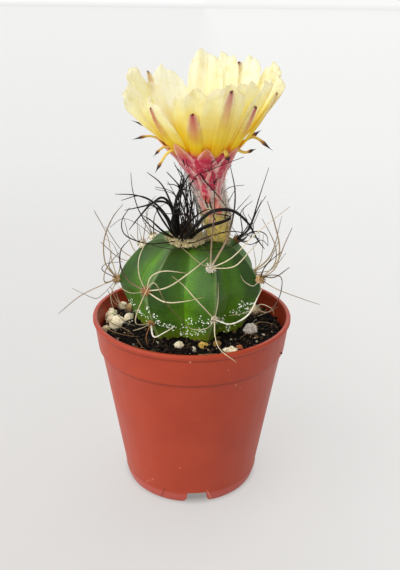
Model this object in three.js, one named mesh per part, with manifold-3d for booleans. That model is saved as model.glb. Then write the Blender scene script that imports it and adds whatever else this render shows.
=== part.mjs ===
// Goat's horn cactus in bloom, in its nursery pot.
// Millimetres, +Z up. The origin is on the pot's axis, on the surface that the pot stands on.
// Azimuths are degrees round +Z, from the front (-Y) towards the right (+X).
import * as THREE from 'three';
import { mergeVertices } from 'three/addons/utils/BufferGeometryUtils.js';
import Module from 'manifold-3d';

const wasm = await Module();
wasm.setup();

// Pot
const potHeight = 78.4;
const rimRadius = 42.5;
const baseRadius = 29.2;
const wall = 1.2;
const collarHeight = 14.2;
const collarStep = 1.1;
const collarTaper = 1.3;
const beadHeight = 2.2;
const beadProud = 0.7;
const floorHeight = 7.5;
const floorThickness = 1.4;
const notchAzimuths = [6, 96, 186, 276];
const notchWidth = 8.6;
const notchHeight = 5.7;
const notchFlare = 3.2;
const notchDepth = 6;
const drainRadius = 3.2;
const drainCircle = 19;

// Soil and the grains on it
const soilHeight = 71;
const soilRelief = 0.7;
const moundHeight = 2.8;
const moundFoot = 37;
const moundTop = 25;
const seatGap = 0.3;

// Stem
const stemCentre = { x: -1, y: 1 };
const ribAzimuths = [-86, -33, 20.5, 67, 118, 170, 222];
const valleyShare = 0.76;
const valleySink = 1.8;
const faceBulge = 0.03;
const ribReach = [0.97, 1, 0.99, 1.03, 1, 0.98, 1.01];
const ridgeProfile = [
  [0, 56], [13, 57.5], [17.5, 62], [20.5, 67], [22.4, 72], [24, 76], [26.2, 80.5], [28.6, 86],
  [30.6, 91], [31.1, 94.5], [29.4, 98.5], [26.4, 102.6], [22.2, 107], [17, 110.2], [11.5, 111.2],
  [5, 110], [0, 109.2],
];

// Flower
const tubeAxis = [
  [10.6, 2.4, 106], [10.4, 1.4, 113], [9.5, 0.2, 120.5], [8.2, -1, 126], [6.5, -1.8, 132],
  [5.4, -2, 138], [4.7, -2, 143.5], [3.9, -2, 147.5],
];
const tubeRadii = [3.4, 4.5, 5.3, 5.5, 5.7, 6.6, 9.4, 12];
const tubeBore = [0, 0, 0, 0, 3.4, 5, 8, 10.8];
const bloomCentre = { x: 3.9, y: -2, z: 147.8 };
const petalThickness = 0.7;

const material = (color, roughness) =>
  new THREE.MeshStandardMaterial({ color, roughness, metalness: 0 });
const looks = {
  pot: material(0xae5139, 0.55),
  soil: material(0x2b2019, 0.95),
  perlite: material(0xe6e2d6, 0.9),
  grit: material(0xb98a55, 0.9),
  stone: material(0x9a968b, 0.85),
  stem: material(0x4a7d2b, 0.5),
  wool: material(0xc9b48a, 0.95),
  spine: material(0x8d7660, 0.7),
  blackSpine: material(0x1d1615, 0.6),
  tube: material(0xc0506a, 0.7),
  petal: material(0xf3e28c, 0.6),
  stamen: material(0xe2b93a, 0.7),
  style: material(0xead98a, 0.6),
};

const radians = THREE.MathUtils.degToRad;
const mix = THREE.MathUtils.lerp;
const vector = (point) => new THREE.Vector3(...point);
const polar = (azimuth, radius, z) =>
  new THREE.Vector3(radius * Math.sin(radians(azimuth)), -radius * Math.cos(radians(azimuth)), z);

// The same seed always gives the same share between 0 and 1.
const chance = (seed) => {
  const wave = Math.sin(seed * 12.9898 + 4.1414) * 43758.5453;
  return wave - Math.floor(wave);
};

// A closed body from its triangles, turned so that they face outwards.
function bodyOf(positions, faces) {
  let volume = 0;
  const corner = (index) => new THREE.Vector3().fromArray(positions, index * 3);
  for (let face = 0; face < faces.length; face += 3) {
    const [a, b, c] = [corner(faces[face]), corner(faces[face + 1]), corner(faces[face + 2])];
    volume += a.dot(b.cross(c));
  }
  const outward = [];
  for (let face = 0; face < faces.length; face += 3) {
    const [a, b, c] = faces.slice(face, face + 3);
    outward.push(a, volume < 0 ? c : b, volume < 0 ? b : c);
  }
  return new wasm.Manifold(new wasm.Mesh({
    numProp: 3,
    vertProperties: new Float32Array(positions),
    triVerts: new Uint32Array(outward),
  }));
}

// A skin over rings of points, closed by a fan at each end.
function loft(rings) {
  const count = rings[0].length;
  const positions = [];
  const faces = [];
  rings.forEach((ring) => ring.forEach((point) => positions.push(point.x, point.y, point.z)));
  for (let row = 0; row + 1 < rings.length; row += 1) {
    for (let side = 0; side < count; side += 1) {
      const a = row * count + side;
      const b = row * count + ((side + 1) % count);
      faces.push(a, b, a + count, b, b + count, a + count);
    }
  }
  [0, rings.length - 1].forEach((row) => {
    const middle = rings[row].reduce((sum, point) => sum.add(point), new THREE.Vector3());
    middle.divideScalar(count);
    positions.push(middle.x, middle.y, middle.z);
    const hub = positions.length / 3 - 1;
    for (let side = 0; side < count; side += 1) {
      const a = row * count + side;
      const b = row * count + ((side + 1) % count);
      faces.push(...(row === 0 ? [hub, b, a] : [hub, a, b]));
    }
  });
  return bodyOf(positions, faces);
}

// A three.js geometry as a solid, its shared corners merged.
function solidOf(geometry) {
  geometry.deleteAttribute('normal');
  geometry.deleteAttribute('uv');
  const merged = mergeVertices(geometry, 1e-4);
  const index = [...merged.getIndex().array];
  const faces = [];
  for (let face = 0; face < index.length; face += 3) {
    const [a, b, c] = index.slice(face, face + 3);
    if (a !== b && b !== c && c !== a) faces.push(a, b, c);
  }
  return bodyOf([...merged.getAttribute('position').array], faces);
}

// A profile of radius and height turned round +Z.
function turned(profile, sides) {
  const points = profile.map(([radius, height]) => new THREE.Vector2(radius, height));
  return solidOf(new THREE.LatheGeometry(points, sides).rotateX(Math.PI / 2));
}

const join = (solids) => solids.reduce((whole, next) => whole.add(next));
// What a cut leaves loose is dropped, and a hollow that the joins seal is filled.
const largest = (solid) => solid.decompose().sort((a, b) => b.volume() - a.volume())[0];

const nodes = new THREE.Group();
function place(name, solid, look) {
  const mesh = solid.getMesh();
  const geometry = new THREE.BufferGeometry();
  geometry.setAttribute('position', new THREE.BufferAttribute(mesh.vertProperties, 3));
  geometry.setIndex(new THREE.BufferAttribute(mesh.triVerts, 1));
  const node = new THREE.Mesh(geometry, look);
  node.name = name;
  nodes.add(node);
}

// A thin round rod that tapers along its bent route. Its root is sunk in what it grows from.
function spine(route, rootRadius, tipRadius = 0.16, stepLength = 7.6, sides = 3) {
  const curve = new THREE.CatmullRomCurve3(route.map(vector), false, 'centripetal');
  const steps = Math.max(3, Math.round(curve.getLength() / stepLength));
  const frames = curve.computeFrenetFrames(steps, false);
  const rings = frames.tangents.map((tangent, step) => {
    const share = step / steps;
    const middle = curve.getPointAt(share);
    const radius = mix(rootRadius, tipRadius, share ** 1.4);
    return Array.from({ length: sides }, (unused, side) => {
      const turn = (2 * Math.PI * side) / sides;
      return middle.clone()
        .addScaledVector(frames.normals[step], radius * Math.cos(turn))
        .addScaledVector(frames.binormals[step], radius * Math.sin(turn));
    });
  });
  return loft(rings);
}

// A rounded lump. The seed makes it uneven by up to the given share.
function lump(centre, radii, seed, uneven = 0.15, geometry = new THREE.DodecahedronGeometry(1)) {
  const position = geometry.getAttribute('position');
  for (let index = 0; index < position.count; index += 1) {
    const point = new THREE.Vector3().fromBufferAttribute(position, index);
    const [i, j, k] = point.toArray().map((part) => Math.round(part * 50));
    const swell = 1 + uneven * (2 * chance(seed * 17 + i * 3 + j * 7 + k * 13) - 1);
    position.setXYZ(index, centre[0] + point.x * radii[0] * swell,
      centre[1] + point.y * radii[1] * swell, centre[2] + point.z * radii[2] * swell);
  }
  return solidOf(geometry);
}

// Pot: a moulded shell with a collar, a bead round the lip, and a raised floor with drain holes.
const collarBottom = potHeight - collarHeight;
const collarRadius = rimRadius - beadProud - collarTaper;
const bodyTopRadius = collarRadius - collarStep;
const potOuter = (z) => mix(baseRadius, bodyTopRadius, z / collarBottom);

function pot() {
  const slope = (bodyTopRadius - baseRadius) / collarBottom;
  const floorUnder = floorHeight - floorThickness;
  const beadFoot = potHeight - beadHeight;
  const lipInner = rimRadius - beadProud - wall;
  const profile = [
    [0, floorUnder], [baseRadius - 2.4, floorUnder],
    [baseRadius - 2.2, 0], [baseRadius - 0.8, 0], [baseRadius + 0.2, 1],
    [bodyTopRadius, collarBottom], [collarRadius, collarBottom + 0.5],
    [rimRadius - beadProud, beadFoot], [rimRadius, beadFoot + 0.4],
    [rimRadius, potHeight - 0.5], [rimRadius - 0.5, potHeight],
    [lipInner, potHeight], [lipInner - 0.3, beadFoot],
    [collarRadius - wall, collarBottom + 1.5], [bodyTopRadius - wall, collarBottom - 1],
    [baseRadius - wall + slope * floorHeight, floorHeight], [0, floorHeight],
  ];
  const shell = turned(profile, 36);
  const cutters = notchAzimuths.flatMap((azimuth) => {
    const notch = new THREE.Shape();
    const half = notchWidth / 2;
    notch.moveTo(-half - notchFlare, -1);
    notch.lineTo(-half - notchFlare, 0);
    notch.quadraticCurveTo(-half, 0.6, -half, notchHeight * 0.6);
    notch.lineTo(-half, notchHeight - 0.8);
    notch.quadraticCurveTo(-half, notchHeight, -half + 0.8, notchHeight);
    notch.lineTo(half - 0.8, notchHeight);
    notch.quadraticCurveTo(half, notchHeight, half, notchHeight - 0.8);
    notch.lineTo(half, notchHeight * 0.6);
    notch.quadraticCurveTo(half, 0.6, half + notchFlare, 0);
    notch.lineTo(half + notchFlare, -1);
    const opening = solidOf(new THREE.ExtrudeGeometry(notch, {
      depth: notchDepth, bevelEnabled: false, curveSegments: 2,
    }).rotateX(Math.PI / 2).translate(0, notchDepth - baseRadius - 1.6, 0).rotateZ(radians(azimuth)));
    const middle = polar(azimuth + 45, drainCircle, floorHeight);
    const drain = solidOf(new THREE.CylinderGeometry(drainRadius, drainRadius, 6, 16)
      .rotateX(Math.PI / 2).translate(middle.x, middle.y, middle.z));
    return [opening, drain];
  });
  return cutters.reduce((whole, cutter) => whole.subtract(cutter), shell);
}

// Stem: sharp ribs that curve over into a hollow crown. extra grows it evenly for cutting seats.
function stemRings(extra = 0) {
  const perRib = 6;
  const hub = 0.02;
  const shoulder = 11;
  const crownSpan = 29;
  return ridgeProfile.map(([radius, height], level) => {
    const sunk = level < 2 ? -extra * 1.3 : 0;
    const lift = level > shoulder ? extra : 0;
    return ribAzimuths.flatMap((azimuth, rib) => {
      const next = ribAzimuths[rib + 1] ?? ribAzimuths[0] + 360;
      const middle = (azimuth + next) / 2;
      const valleyRadius = radius > 0 ? radius * valleyShare + extra * 1.15 : hub;
      const valleyDrop = level >= shoulder ? valleySink * Math.sin((Math.PI * radius) / crownSpan) : 0;
      return Array.from({ length: perRib }, (unused, step) => {
        const share = step / perRib;
        const near = share < 0.5;
        const reach = ribReach[near ? rib : (rib + 1) % ribReach.length];
        const ridge = polar(near ? azimuth : next, radius > 0 ? radius * reach + extra : hub, height);
        const t = near ? share * 2 : 2 - share * 2;
        const point = ridge.lerp(polar(middle, valleyRadius, height - valleyDrop), t);
        const bulge = 1 + faceBulge * Math.sin(Math.PI * t);
        return new THREE.Vector3(stemCentre.x + point.x * bulge, stemCentre.y + point.y * bulge,
          point.z + sunk + lift);
      });
    });
  });
}

// A rib's ridge at this height: its point there and the way that it faces.
function ridgeAt(rib, height) {
  const levels = ridgeProfile.slice(1);
  const upper = levels.findIndex(([, z]) => z >= height);
  const [r0, z0] = levels[upper - 1];
  const [r1, z1] = levels[upper];
  const share = (height - z0) / (z1 - z0);
  const point = polar(ribAzimuths[rib], mix(r0, r1, share) * ribReach[rib], height);
  const outward = polar(ribAzimuths[rib], z1 - z0, r0 - r1).normalize();
  return { point: new THREE.Vector3(point.x + stemCentre.x, point.y + stemCentre.y, height), outward };
}

// Soil: it fills the pot, and its uneven top is mounded towards the stem.
function soilTop(x, y) {
  const { smoothstep } = THREE.MathUtils;
  const mound = moundHeight * (1 - smoothstep(Math.hypot(x, y), moundTop, moundFoot));
  const crumbs = Math.sin(x * 0.9 + 1.7 * Math.sin(y * 0.55)) * Math.cos(y * 0.8 + Math.sin(x * 0.7))
    + 0.5 * Math.sin(x * 2.1 - y * 1.7);
  return soilHeight + mound + soilRelief * crumbs;
}

function soil() {
  const inner = (z) => potOuter(z) - wall - seatGap;
  const count = 26;
  const ring = (radius, heightOf) => Array.from({ length: count }, (unused, step) => {
    const flat = polar((360 * step) / count, radius, 0);
    return new THREE.Vector3(flat.x, flat.y, heightOf(flat.x, flat.y));
  });
  const floorTop = floorHeight + seatGap;
  const topRadius = collarRadius - wall - 0.5;
  return loft([
    ring(inner(floorTop) - 0.6, () => floorTop),
    ring(inner(collarBottom - 1), () => collarBottom - 1.5),
    ring(topRadius, () => collarBottom + 2.5),
    ring(topRadius + 0.3, (x, y) => soilTop(x, y) - 0.4),
    ...[36.5, 31.5, 26.5, 21].map((radius) => ring(radius, soilTop)),
  ]);
}

// Grains half sunk in the soil. A heap holds lumps: x, y, half width, half height.
const grains = [
  ['perlite_left', 'perlite', [
    [-35.4, 4.4, 2.5, 2.1], [-32.6, 1.8, 2.6, 2.2], [-33.2, -2.4, 2.5, 2], [-30.8, -0.8, 2.3, 2.2],
  ]],
  ['perlite_far_left', 'perlite', [[-36, 10.5, 2.1, 1.9], [-37, 8.2, 1.7, 1.8]]],
  ['perlite_back', 'perlite', [[-32.2, 20.2, 2.2, 2.3]]],
  ['perlite_round', 'perlite', [[-27.3, 0.8, 2.1, 2]]],
  ['grit_rim', 'grit', [[-36.8, -5.4, 1.7, 1.6]]],
  ['perlite_front', 'perlite', [[-4.8, -25, 1.7, 1.5]]],
  ['grit_front_small', 'grit', [[1.1, -27.2, 1, 1.1]]],
  ['grit_front_yellow', 'grit', [[4.9, -25, 1.7, 1.3]]],
  ['grit_front_brown', 'grit', [[10.5, -24.2, 1.5, 1.3]]],
  ['perlite_front_right', 'perlite', [[15.9, -26.4, 2.2, 1.8]]],
  ['grit_right', 'grit', [[19.6, -23.2, 1.4, 1.3]]],
  ['stone_right', 'stone', [[24.8, -11, 2.5, 2.2]]],
  ['grit_back_right', 'grit', [[30, 13, 2.1, 1.7]]],
];
const heap = (lumps, seed, grow = 0) => join(lumps.map(([x, y, wide, high], index) => {
  const radii = [wide + grow, wide * 0.9 + grow, high + grow];
  return lump([x, y, soilTop(x, y) + high * 0.35], radii, seed * 9 + index, 0.1);
}));

// Areoles: a woolly pad on a ridge with its bent spines, each with its root radius and its route
// from the pad outwards.
const tan = 0.36;
const stout = 0.5;
const fine = 0.26;
const areoles = [
  { name: 'rib1_mid', rib: 0, height: 93.5, spines: [
    [stout, [-35.8, -4, 100.6], [-36.4, -5, 108.8], [-35.6, -5, 113.6], [-32.2, -4, 121.3],
      [-28, -3, 126.5]],
    [tan, [-34.6, 4, 100.8], [-36, 6, 109.5], [-41.6, 8, 120.5]],
    [stout, [-36.2, -6, 93.6], [-35.8, -8.6, 99], [-33, -9.8, 104], [-29.4, -10, 108.2]],
    [tan, [-34.4, -6, 101], [-33.4, -8, 105], [-32.4, -8.6, 109]],
    [fine, [-36.6, -10.5, 101], [-34.6, -13.6, 104.6], [-31, -14, 105.4], [-27.6, -14, 105.8]],
    [tan, [-34.2, -5, 87], [-32.4, -7, 81], [-28, -9, 77], [-23.4, -12, 76.4]],
    [stout, [-39.5, 1, 89.1], [-48.1, 0, 84.7], [-57.6, -1.5, 76.9]],
    [fine, [-38.6, 5, 84], [-42.4, 7, 80.6], [-48, 8, 82.4], [-53, 8, 85]],
    [fine, [-31.5, 8, 97.6], [-34.7, 10, 105.4], [-38, 10, 107.4]],
  ] },
  { name: 'rib2_mid', rib: 1, height: 97.3, spines: [
    [stout, [-23.4, -28, 102.7], [-26.6, -29, 108.8], [-26.4, -29, 116], [-23.4, -28, 119.6]],
    [fine, [-23.1, -29.6, 98.8], [-27.6, -31, 102]],
    [tan, [-19.6, -31, 106.8], [-19.3, -33, 114.3], [-15.5, -33, 122.9]],
    [tan, [-15, -28, 105.3], [-10.8, -28.4, 107.4], [-1.7, -28, 106.6]],
    [stout, [-9.2, -30, 101.4], [-0.8, -31.6, 108], [6.2, -31, 114]],
    [tan, [-9.9, -31, 95.8], [-3.4, -32, 96.4], [4.9, -33.4, 99]],
  ] },
  { name: 'rib2_low', rib: 1, height: 82.8, spines: [
    [tan, [-21.3, -30.5, 86.4], [-19.4, -34, 95.4], [-13.8, -35.6, 105.6], [-9.7, -36, 98.4],
      [-1.1, -35, 87.2]],
    [stout, [-14.4, -30, 80.4], [-9.9, -33, 84], [-6.4, -34, 86.8]],
    [fine, [-17.6, -30, 79.4], [-16.6, -31, 77]],
    [fine, [-19.6, -30, 84], [-22.4, -32, 84]],
  ] },
  { name: 'rib3_mid', rib: 2, height: 105.6, spines: [
    [tan, [7.6, -22, 117], [8.4, -19.6, 128.2], [8.2, -17.4, 137.7], [6.8, -17.6, 146.6]],
    [stout, [13.8, -18, 116.8], [17.2, -13, 126.5], [17.8, -11, 134.6], [16.4, -12, 143.6]],
    [stout, [15.4, -27, 112.8], [23.8, -25, 121.4], [37, -20, 131]],
    [tan, [16.5, -29, 110.1], [21.8, -30, 116.5], [24.4, -30, 119.4]],
    [tan, [2.4, -27, 110.9], [-0.8, -25.6, 113.4], [-6.1, -22, 116.6]],
  ] },
  { name: 'rib3_low', rib: 2, height: 86.9, spines: [
    [tan, [2.3, -34.6, 98.1], [-3.4, -35, 105], [-7.1, -34, 107.6]],
    [fine, [6.3, -32.4, 85.6], [1.4, -34.6, 86], [-1.8, -36.6, 88.6]],
    [stout, [15.4, -33, 87.8], [21.8, -34, 92.2], [25.6, -30.4, 98.4], [28, -25.6, 100.8]],
    [tan, [9.4, -36, 83.6], [11.2, -42, 81.4], [17.2, -46.6, 78.6]],
    [fine, [10.2, -36, 98.7], [10, -37.4, 106.7]],
  ] },
  { name: 'rib4_mid', rib: 3, height: 97.6, spines: [
    [stout, [33.6, -13, 103.5], [34.8, -13, 112], [32.7, -11, 120.9], [29.4, -9, 130.1]],
    [tan, [32.6, -16, 105.9], [33, -18.6, 112.1], [31.6, -19, 117], [26.9, -18, 125.5]],
    [tan, [34.6, -9, 104.6], [37.4, -7, 111.3], [40.4, -5, 118]],
    [fine, [28.8, -17.6, 105.4], [31, -20.4, 109.6], [34.6, -22, 113.6]],
    [fine, [32.3, -14, 100.9], [35.9, -14.4, 100.1], [36.2, -15, 94.4], [34.8, -15.6, 90],
      [32.2, -16.4, 86.4], [27, -18.4, 84.6]],
    [tan, [34.2, -9.6, 93.4], [46.4, 0, 85], [57.6, 14, 76]],
    [fine, [24.4, -19, 98], [20.4, -22.6, 101.6], [19, -23.6, 104.4]],
  ] },
  { name: 'rib4_low', rib: 3, height: 84.4, spines: [
    [tan, [28.6, -15.4, 88.6], [32.6, -16, 87], [34, -14.4, 83.4]],
    [fine, [20, -20.4, 86.4], [14.8, -26, 88.2]],
    [fine, [31.6, -9.6, 82.4], [36.4, -6, 83.6]],
  ] },
  { name: 'rib5_mid', rib: 4, height: 106.8, spines: [
    [stout, [23.4, 0, 119.8], [27.4, -2, 131.9], [30, -3, 142.1]],
    [tan, [24.4, 4, 117.4], [28, 3, 125.7], [30, 3, 129]],
    [tan, [27.6, 5.6, 113], [31, 3, 112], [31.6, 0.4, 108.4]],
    [fine, [23.4, 9, 115.3], [21, 8.6, 121], [24.8, 6.4, 126]],
    [fine, [25, 13, 112], [29, 18, 119]],
  ] },
  { name: 'rib6_mid', rib: 5, height: 101.6, sprout: { count: 7, reach: 27, fan: 150, seed: 61 } },
  { name: 'rib7_mid', rib: 6, height: 105, spines: [
    [tan, [-21.6, 10.4, 117.2], [-20.4, 8, 121], [-15.6, 6, 122.8]],
    [tan, [-16.4, 15, 117], [-13.6, 15, 121], [-9.6, 14.6, 123]],
    [fine, [-25, 15.6, 113], [-31, 18, 114], [-36.6, 18, 110]],
    [tan, [-20, 21, 112], [-21, 27, 117], [-17, 31, 121]],
  ] },
  { name: 'rib1_top', rib: 0, height: 108.2, spines: [
    [fine, [-23, -1.6, 110.4], [-25.6, -2, 113.4]],
    [fine, [-21.6, 2, 111.6], [-22.6, 4, 115]],
  ] },
  { name: 'rib1_low', rib: 0, height: 80.4, sprout: { count: 4, reach: 11, fan: 100, seed: 14 } },
  { name: 'rib5_low', rib: 4, height: 90.6, sprout: { count: 6, reach: 24, fan: 150, seed: 51 } },
  { name: 'rib6_low', rib: 5, height: 86.4, sprout: { count: 6, reach: 23, fan: 140, seed: 67 } },
  { name: 'rib7_low', rib: 6, height: 91.6, sprout: { count: 6, reach: 24, fan: 150, seed: 75 } },
];

// Spines where no route is given: they fan out from the pad and bend up towards the crown.
function sprouted(root, outward, { count, reach, fan, seed }) {
  const side = new THREE.Vector3(0, 0, 1).cross(outward).normalize();
  const rise = new THREE.Vector3().crossVectors(outward, side).normalize();
  return Array.from({ length: count }, (unused, index) => {
    const lean = radians(mix(-fan / 2, fan / 2, index / (count - 1)) + 10 * (chance(seed + index) - 0.5));
    const across = side.clone().multiplyScalar(Math.sin(lean)).addScaledVector(rise, Math.cos(lean));
    const length = reach * mix(0.75, 1.2, chance(seed * 3 + index));
    const bend = root.clone().addScaledVector(outward, length * 0.3).addScaledVector(across, length * 0.35);
    const tip = root.clone().addScaledVector(outward, length * 0.42)
      .addScaledVector(across, length * 0.75).addScaledVector(new THREE.Vector3(0, 0, 1), length * 0.3);
    return [index % 3 === 0 ? stout : tan, bend.toArray(), tip.toArray()];
  });
}

function areole({ rib, height, spines, sprout }) {
  const { point, outward } = ridgeAt(rib, height);
  const root = point.clone().addScaledVector(outward, 0.7);
  const pad = lump(root.toArray(), [2.1, 2.1, 2], rib * 31 + height, 0.12);
  const routes = spines ?? sprouted(root, outward, sprout);
  return join([pad, ...routes.map(([radius, ...route]) => spine([root.toArray(), ...route], radius))]);
}

// Crown: old wool round the growing point, with the stout black spines of the young areoles.
const crownSpines = [
  [0.5, [-6.1, -5.6, 112.4], [-15.4, -13, 119.7], [-19.9, -14.6, 125.6], [-22.8, -15, 135.1],
    [-23.5, -14, 141.9]],
  [0.8, [-5.9, -6.6, 113], [-10.5, -9, 124], [-16.8, -9.6, 130.1], [-22.6, -9.6, 132], [-30.4, -9, 132.1]],
  [0.8, [-6.8, -5.4, 113], [-10.9, -5.2, 121.9], [-13.9, -5, 125.4], [-17.6, -5, 127]],
  [0.6, [-6.6, -3.4, 113], [-8, -2, 124.3], [-12.2, -1.4, 129], [-17.4, -1, 126], [-27.8, 0, 123]],
  [0.5, [-6.4, -6, 113], [-9.6, -6.6, 127.8], [-15.2, -6.6, 128.4], [-21, -6, 122.5], [-25.6, -6, 116.6]],
  [0.45, [-5.6, -6.6, 112.4], [-12, -13.4, 113.6], [-18, -17, 114.6], [-26.4, -17, 118.4],
    [-27.4, -14, 123], [-24.5, -12, 127.5]],
  [1, [-5.6, -6.6, 113], [-7.6, -7, 123.3], [-6.6, -7.4, 129.5], [-3.6, -7.6, 138.4], [-7, -7, 143.4]],
  [0.9, [-4.6, -6.6, 113], [-5.4, -6.4, 122.8], [-4.6, -6.4, 131], [-2.4, -6.4, 138],
    [0.4, -8.6, 141], [3, -10.6, 137]],
  [0.5, [-5.4, -5, 113], [-7, -4, 126.6], [-5.4, -3, 133.4], [-10.5, -2, 139.6]],
  [0.5, [-5.6, -4, 113], [-6, -2, 125], [-8, -1, 131], [-15.4, 0, 133]],
  [1.2, [-3.6, -7.2, 112.6], [1.1, -15.4, 121.4], [7.6, -17, 127.8], [15.4, -17.4, 128.4],
    [21.6, -16.6, 123.3], [25.6, -16, 116.5], [28.6, -15.6, 112.4]],
  [0.9, [-2.1, -6.8, 112.6], [4.6, -13.8, 120.4], [11.6, -16, 123.4], [15, -17.4, 125.8], [8, -18.4, 127.6]],
  [0.6, [-4.4, 1.6, 113], [-9, 12, 122], [-14, 18, 130], [-20, 21, 134]],
  [0.6, [-2, 2.6, 113], [0, 16, 123], [4, 22, 131], [5, 30, 134]],
  [0.5, [0.4, 1.8, 113], [8, 14, 121], [15, 19, 128], [22, 21, 129]],
  [0.5, [-6, 0.4, 113], [-14, 6, 123], [-22, 8, 127], [-30, 8, 125]],
];
const woolCentre = { x: -2.4, y: -3.2 };
const budCentre = [-2.7, -1.4, 115.4];
// The young shoot's own bristles cross over it like a cage.
const budBristles = Array.from({ length: 9 }, (unused, index) => {
  const azimuth = (360 * index) / 9;
  const foot = polar(azimuth, 3.2, 112.6);
  const waist = polar(azimuth + 30, 4.1, 122 + 2 * chance(index));
  const tip = polar(azimuth + 150 + 40 * chance(index + 5), 2.4, 131 + 5 * chance(index + 9));
  return [0.5, ...[foot, waist, tip].map((p) => [p.x + budCentre[0], p.y + budCentre[1], p.z])];
});

function crown(cut) {
  const wool = Array.from({ length: 9 }, (unused, index) => {
    const spot = polar(40 * index, 5.2 + chance(index + 3), 111.6 + 0.8 * chance(index + 7));
    return lump([woolCentre.x + spot.x, woolCentre.y + spot.y, spot.z], [2.4, 2.4, 1.9], index, 0.2);
  });
  const middle = lump([woolCentre.x, woolCentre.y, 111.4], [6, 6, 2], 40, 0.05);
  const spikes = [...crownSpines, ...budBristles].map(([radius, ...route]) => spine(route, radius, 0.2, 8));
  return largest(join([middle, ...wool, ...spikes]).subtract(cut));
}

// Flower tube: a leaning stalk that opens into a cup. grow fattens it for cutting seats.
function tubeRings(grow) {
  const sides = 16;
  const ringAt = ([x, y, z], radius) => Array.from({ length: sides }, (unused, side) => {
    const spot = polar((360 * side) / sides, radius, z);
    return new THREE.Vector3(spot.x + x, spot.y + y, z);
  });
  const outside = tubeAxis.map((point, level) => ringAt(point, tubeRadii[level] + grow));
  if (grow > 0) return outside;
  const inside = tubeAxis.map((point, level) => ringAt(point, tubeBore[level]))
    .filter((ring, level) => tubeBore[level] > 0);
  return [...outside, ...inside.reverse()];
}

// Dark bristles stand on the tube's middle part, scattered round it from level to level.
function flowerTube(cut) {
  const count = 12;
  const bristles = Array.from({ length: count }, (unused, index) => {
    const azimuth = 360 * chance(index * 5 + 1);
    const level = 2 + Math.floor((4 * index) / count);
    const [x, y, z] = tubeAxis[level];
    const radius = tubeRadii[level];
    const foot = polar(azimuth, radius - 0.7, z);
    const middle = polar(azimuth, radius + 0.9, z + 3.6);
    const tip = polar(azimuth + 8, radius + 2 + chance(index), z + 6.5);
    return spine([foot, middle, tip].map((p) => [p.x + x, p.y + y, p.z]), 0.42, 0.16, 2);
  });
  return largest(join([loft(tubeRings(0)), ...bristles]).subtract(cut));
}

// Petals: azimuth, tip radius, tip height, width, bow, cup and twist. The blade's middle line lies bow
// above the straight line from foot to tip, so below 0 it bellies out, cup draws its sides inwards, and
// twist turns the tip about that line by so many degrees.
const innerPetals = [
  [178, 26.7, 183.2, 13, -1, 2.4, 0], [160, 25, 182.6, 12.5, -1, 2.2, 8], [139, 30.2, 182, 14, -1.4, 2, 0],
  [114, 29.3, 179.4, 12.5, -2, 1.8, -8], [92, 31.1, 176.8, 13, -2, 1.6, -28],
  [66, 24.8, 176.5, 14.5, -2, 1.8, 0], [42, 25.6, 175.6, 13, -2, 2.2, 0], [18, 25.6, 175.3, 13.5, -2, 2.4, 0],
  [-8, 25.2, 173.7, 14.5, -2, 2.6, 0], [-50, 25.2, 169.2, 15, -2, 2, 8], [-80, 30.8, 171.4, 15, -2, 1.6, 30],
  [-110, 28.8, 178.2, 11, -2, 1.8, 10], [-140, 27.7, 177.6, 16.5, -1.4, 2.2, 0],
];
const outerTepals = [
  [-10, 22.2, 165.5, 6.5, -1, 1, 0], [20, 27.8, 174.2, 6.5, -1.5, 1, 0], [52, 24, 167.4, 6.5, -1.5, 1, 0],
  [-47, 26, 166.9, 6.5, -1.5, 1, 0], [79, 28, 171.2, 7, -1.5, 1, 0], [149, 28, 180, 7, -1.5, 1, 0],
  [-124, 27, 176.8, 7, -1.5, 1, 0], [-162, 24, 168, 7, -1.5, 1, 0], [172, 25, 170, 7, -1.5, 1, 0],
  [121, 30.4, 175.4, 7, -1.5, 1, 0],
];
// Narrow scales under the bloom, curled back: azimuth, then reach and rise of the bend and of the tip.
const curledScales = [
  [-84, 20, 9, 28, 12.4], [-87, 20, 6, 28, 4.6], [-70, 16.4, 2.6, 20.4, -0.8], [-54, 17, 1, 22.6, -6],
  [82, 19.4, 6.4, 27.4, 1.4], [68, 17, 1.2, 22, 3], [34, 14.4, 3, 17.6, -1], [140, 18, 3, 25, 0],
  [170, 17, 4, 24, 5], [-165, 18, 2, 24, -3], [-130, 19, 6, 26, 8], [115, 18, 3, 26, 7],
];
// A blade is widest at the shoulder. Its foot and its tip are narrower by these shares of its width.
const shoulder = 0.72;
const footShare = 0.34;
const tipCut = 0.45;
const petalOutline = (u) => (u < shoulder
  ? mix(footShare, 1, Math.sin((u / shoulder) * Math.PI / 2))
  : 1 - tipCut * ((u - shoulder) / (1 - shoulder)) ** 2);

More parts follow.
